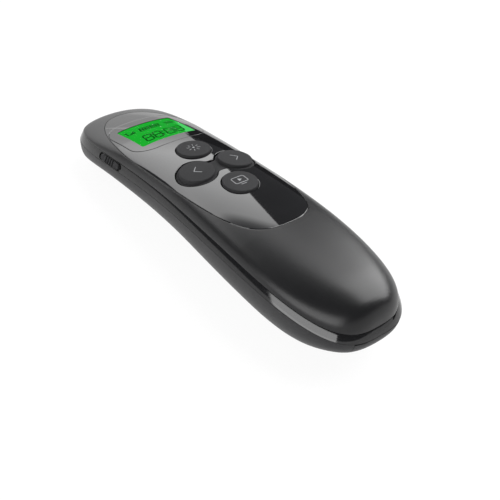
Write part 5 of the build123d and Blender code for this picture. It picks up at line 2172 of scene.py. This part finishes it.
# ---- Studio --------------------------------------------------------------------------------------
@dataclass(frozen=True)
class SoftBox:
    """Lamp behind a diffuser, placed by bearing: azimuth and elevation in degrees, else metres.

    The diffuser is graduated: fade gives (height share, strength) stops from its lower to its
    upper edge.
    """

    name: str
    azimuth: float
    elevation: float
    distance: float
    width: float
    height: float
    radiance: float
    fade: tuple[tuple[float, float], ...] = ((0.0, 1.0), (1.0, 1.0))

    def build(self, target: Vector) -> bpy.types.Object:
        """Area lamp that faces the target; its power is radiance x pi x area.

        Args:
            target: The point it faces.

        Returns:
            The lamp.
        """
        lamp = bpy.data.lights.new(self.name, "AREA")
        lamp.shape, lamp.size, lamp.size_y = "RECTANGLE", self.width, self.height
        lamp.energy = self.radiance * np.pi * self.width * self.height
        self.graduate(lamp)
        a, e = radians(self.azimuth), radians(self.elevation)
        way = Vector((np.cos(a) * np.cos(e), np.sin(a) * np.cos(e), np.sin(e)))
        made = bpy.data.objects.new(self.name, lamp)
        turn = way.to_track_quat("Z", "Y").to_matrix().to_4x4()
        made.matrix_world = Matrix.Translation(target + way * self.distance) @ turn
        bpy.context.scene.collection.objects.link(made)
        return made

    def graduate(self, lamp: bpy.types.Light) -> None:
        """Strength up the diffuser: a curve over its second parameter.

        Args:
            lamp: The lamp whose nodes are made.
        """
        lamp.use_nodes = True
        tree = lamp.node_tree
        tree.nodes.clear()
        place = add_node(tree, "ShaderNodeNewGeometry").outputs["Parametric"]
        up = add_node(tree, "ShaderNodeSeparateXYZ", inputs={"Vector": place}).outputs["Y"]
        curve = add_node(tree, "ShaderNodeFloatCurve", inputs={"Value": up})
        points = curve.mapping.curves[0].points
        while len(points) < len(self.fade):
            points.new(0.5, 0.5)
        for point, stop in zip(points, self.fade):
            point.location, point.handle_type = stop, "VECTOR"
        curve.mapping.update()
        glow = add_node(tree, "ShaderNodeEmission", inputs={"Strength": curve.outputs[0]})
        add_node(tree, "ShaderNodeOutputLight", inputs={"Surface": glow.outputs[0]})


@dataclass
class Flag:
    """Curved black card, unseen by the camera, that keeps low white out of one side's gloss.

    It stands upright from one bearing to the other, in degrees; its sizes are in metres.
    """

    first: float = -34.5
    last: float = -128.0
    distance: float = 1.2
    height: float = 0.3

    def build(self) -> None:
        """The card: (d cos a, d sin a, z) over bearings a and heights z at a distance d."""
        bearing = np.radians(np.linspace(self.first, self.last, 33))[:, None]
        x, y = self.distance * np.cos(bearing), self.distance * np.sin(bearing)
        up = np.array([0.0, self.height])[None]
        points = np.stack(np.broadcast_arrays(x, y, up), axis=-1)
        card = Skin().grid(points / MM).build("black_flag")
        felt = MouldedPlastic("flag_felt", "050505", "080808", (0.9, 1.0), level=0.0)
        card.data.materials.append(felt.material())
        card.visible_camera = card.visible_shadow = card.visible_diffuse = False


@dataclass
class Viewpoint:
    """Camera placed by bearing, elevation and roll in degrees, aim and distance in metres."""

    azimuth: float = 228.531
    elevation: float = 38.353
    roll: float = 5.226
    aim: tuple[float, float, float] = (-0.019688, 0.005178, 0.010261)
    distance: float = 0.225026
    lens_mm: float = 57.385
    sensor_mm: float = 36.0

    def build(self) -> None:
        """The camera, turned about its own axis by the roll."""
        azimuth, elevation, roll = (radians(a) for a in (self.azimuth, self.elevation, self.roll))
        level = np.cos(elevation)
        back = Vector((np.sin(azimuth) * level, -np.cos(azimuth) * level, np.sin(elevation)))
        right = Vector((0, 0, 1)).cross(back).normalized()
        up = back.cross(right)
        across = np.cos(roll) * right + np.sin(roll) * up
        upward = np.cos(roll) * up - np.sin(roll) * right
        turn = Matrix((across, upward, back)).transposed().to_4x4()
        data = bpy.data.cameras.new("viewpoint")
        data.lens, data.sensor_width = self.lens_mm, self.sensor_mm
        eye = bpy.data.objects.new("viewpoint", data)
        eye.matrix_world = Matrix.Translation(Vector(self.aim) + back * self.distance) @ turn
        bpy.context.scene.collection.objects.link(eye)
        bpy.context.scene.camera = eye


@dataclass
class Studio:
    """White sweep, three soft boxes, a black card, a dim room, and the camera.

    The paper is flat out to paper_radius and rises to rim_radius, in metres. low_rays are the
    heights of a ray's way back to its start between which the room's white fades in.
    """

    target: Vector = field(default_factory=lambda: Vector((0.0, 0.0, 0.015)))
    room: str = "595a5c"
    paper_radius: float = 3.0
    rim_radius: float = 5.0
    paper_drop: float = 0.0002
    low_rays: tuple[float, float] = (-0.14, -0.02)
    boxes: tuple[SoftBox, ...] = (
        SoftBox(
            "window_box", azimuth=-2.0, elevation=25.0, distance=1.5, width=1.85, height=1.75,
            radiance=4.3, fade=(
                (0.0, 0.0), (0.14, 0.0), (0.275, 0.06), (0.295, 0.27), (0.4, 0.4),
                (0.55, 0.85), (0.78, 0.95), (0.92, 0.8), (0.96, 0.2), (1.0, 0.0),
            ),
        ),
        SoftBox(
            "side_box", azimuth=-92.0, elevation=44.0, distance=1.5, width=1.45, height=1.7,
            radiance=6.8,
        ),
        SoftBox(
            "tail_box", azimuth=108.0, elevation=17.0, distance=1.5, width=2.0, height=0.95,
            radiance=4.6,
        ),
    )

    def build(self) -> None:
        """Floor, lamps, card, world and camera."""
        self.floor()
        for box in self.boxes:
            box.build(self.target)
        Flag().build()
        self.world()
        Viewpoint().build()

    def floor(self) -> None:
        """Paper: at radius r from the middle its height is (r - paper_radius)^2 / 4, or 0 inside.

        The sweep is seen; the rim beyond it lights the object and shows in its gloss alone.
        """
        paper = StudioPaper("seamless_white_paper", "f2f2f1", 0.93).material()
        angle = np.linspace(0, 2 * np.pi, 96, endpoint=False)[None]
        for name, radius in (
            ("paper_sweep", np.linspace(0, self.paper_radius, 13)),
            ("paper_rim", np.linspace(self.paper_radius, self.rim_radius, 17)),
        ):
            r = radius[:, None]
            rise = np.clip(r - self.paper_radius, 0, None) ** 2 / 4 - self.paper_drop
            points = np.broadcast_arrays(r * np.cos(angle), r * np.sin(angle), rise)
            sheet = Skin().grid(np.stack(points, axis=-1) / MM, wrap=True).build(name)
            sheet.data.materials.append(paper)
            sheet.visible_camera = name == "paper_sweep"

    def world(self) -> None:
        """Dim grey room, white to the camera, and to glossy and transmission rays low down."""
        world = bpy.data.worlds.new("studio_room")
        bpy.context.scene.world = world
        world.use_nodes = True
        tree = world.node_tree
        tree.nodes.clear()
        room, white = (
            add_node(tree, "ShaderNodeBackground", inputs={"Color": colour, "Strength": 1.0})
            for colour in (linear(self.room), WHITE)
        )
        path = add_node(tree, "ShaderNodeLightPath").outputs
        back = add_node(tree, "ShaderNodeNewGeometry").outputs["Incoming"]
        up = add_node(tree, "ShaderNodeSeparateXYZ", inputs={"Vector": back}).outputs["Z"]
        # Incoming points back along the ray: its Z is near 0 at the horizon and -1 overhead.
        low = Finish.span(tree, up, 0.0, 1.0, *self.low_rays)
        bounced = larger(tree, path["Is Glossy Ray"], path["Is Transmission Ray"])
        bounced_low = add_node(tree, "ShaderNodeMath", {"operation": "MULTIPLY"}, {
            0: bounced, 1: low,
        }).outputs[0]
        mix = add_node(tree, "ShaderNodeMixShader", inputs={
            0: larger(tree, path["Is Camera Ray"], bounced_low),
            1: room.outputs[0], 2: white.outputs[0],
        })
        add_node(tree, "ShaderNodeOutputWorld", inputs={"Surface": mix.outputs[0]})


def main() -> None:
    """Build the pieces in order, then the studio."""
    logging.basicConfig(level=logging.INFO, format="%(name)s: %(message)s")
    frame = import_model()
    bpy.context.scene.view_settings.view_transform = "Standard"
    nodes, form = frame["nodes"], CaseForm()
    LowerCovers(form, nodes).build()
    slider, rocker, inlay = PowerSlider(form), PageRocker(form), Inlay(form)
    UpperCover(form, inlay).build()
    TrimRing(form).build(slider.plane)
    inlay.build(rocker)
    DisplayWindow(form, inlay).build()
    RoundKey(form, "laser", "laser_key", "laser_button", 16.0, Sign.laser).build()
    RoundKey(form, "screen", "screen_key", "screen_button", -7.0, Sign.show).build()
    rocker.build()
    slider.build()
    shown = {
        "top_cover", "bottom_cover", "battery_door", "receiver_cap", "trim_ring", "front_panel",
        "display_lens", "laser_button", "screen_button", "page_rocker", "power_slider",
    }
    InnerPieces(nodes, frame["record"]).build(shown)
    Studio().build()


if __name__ == "__main__":
    main()
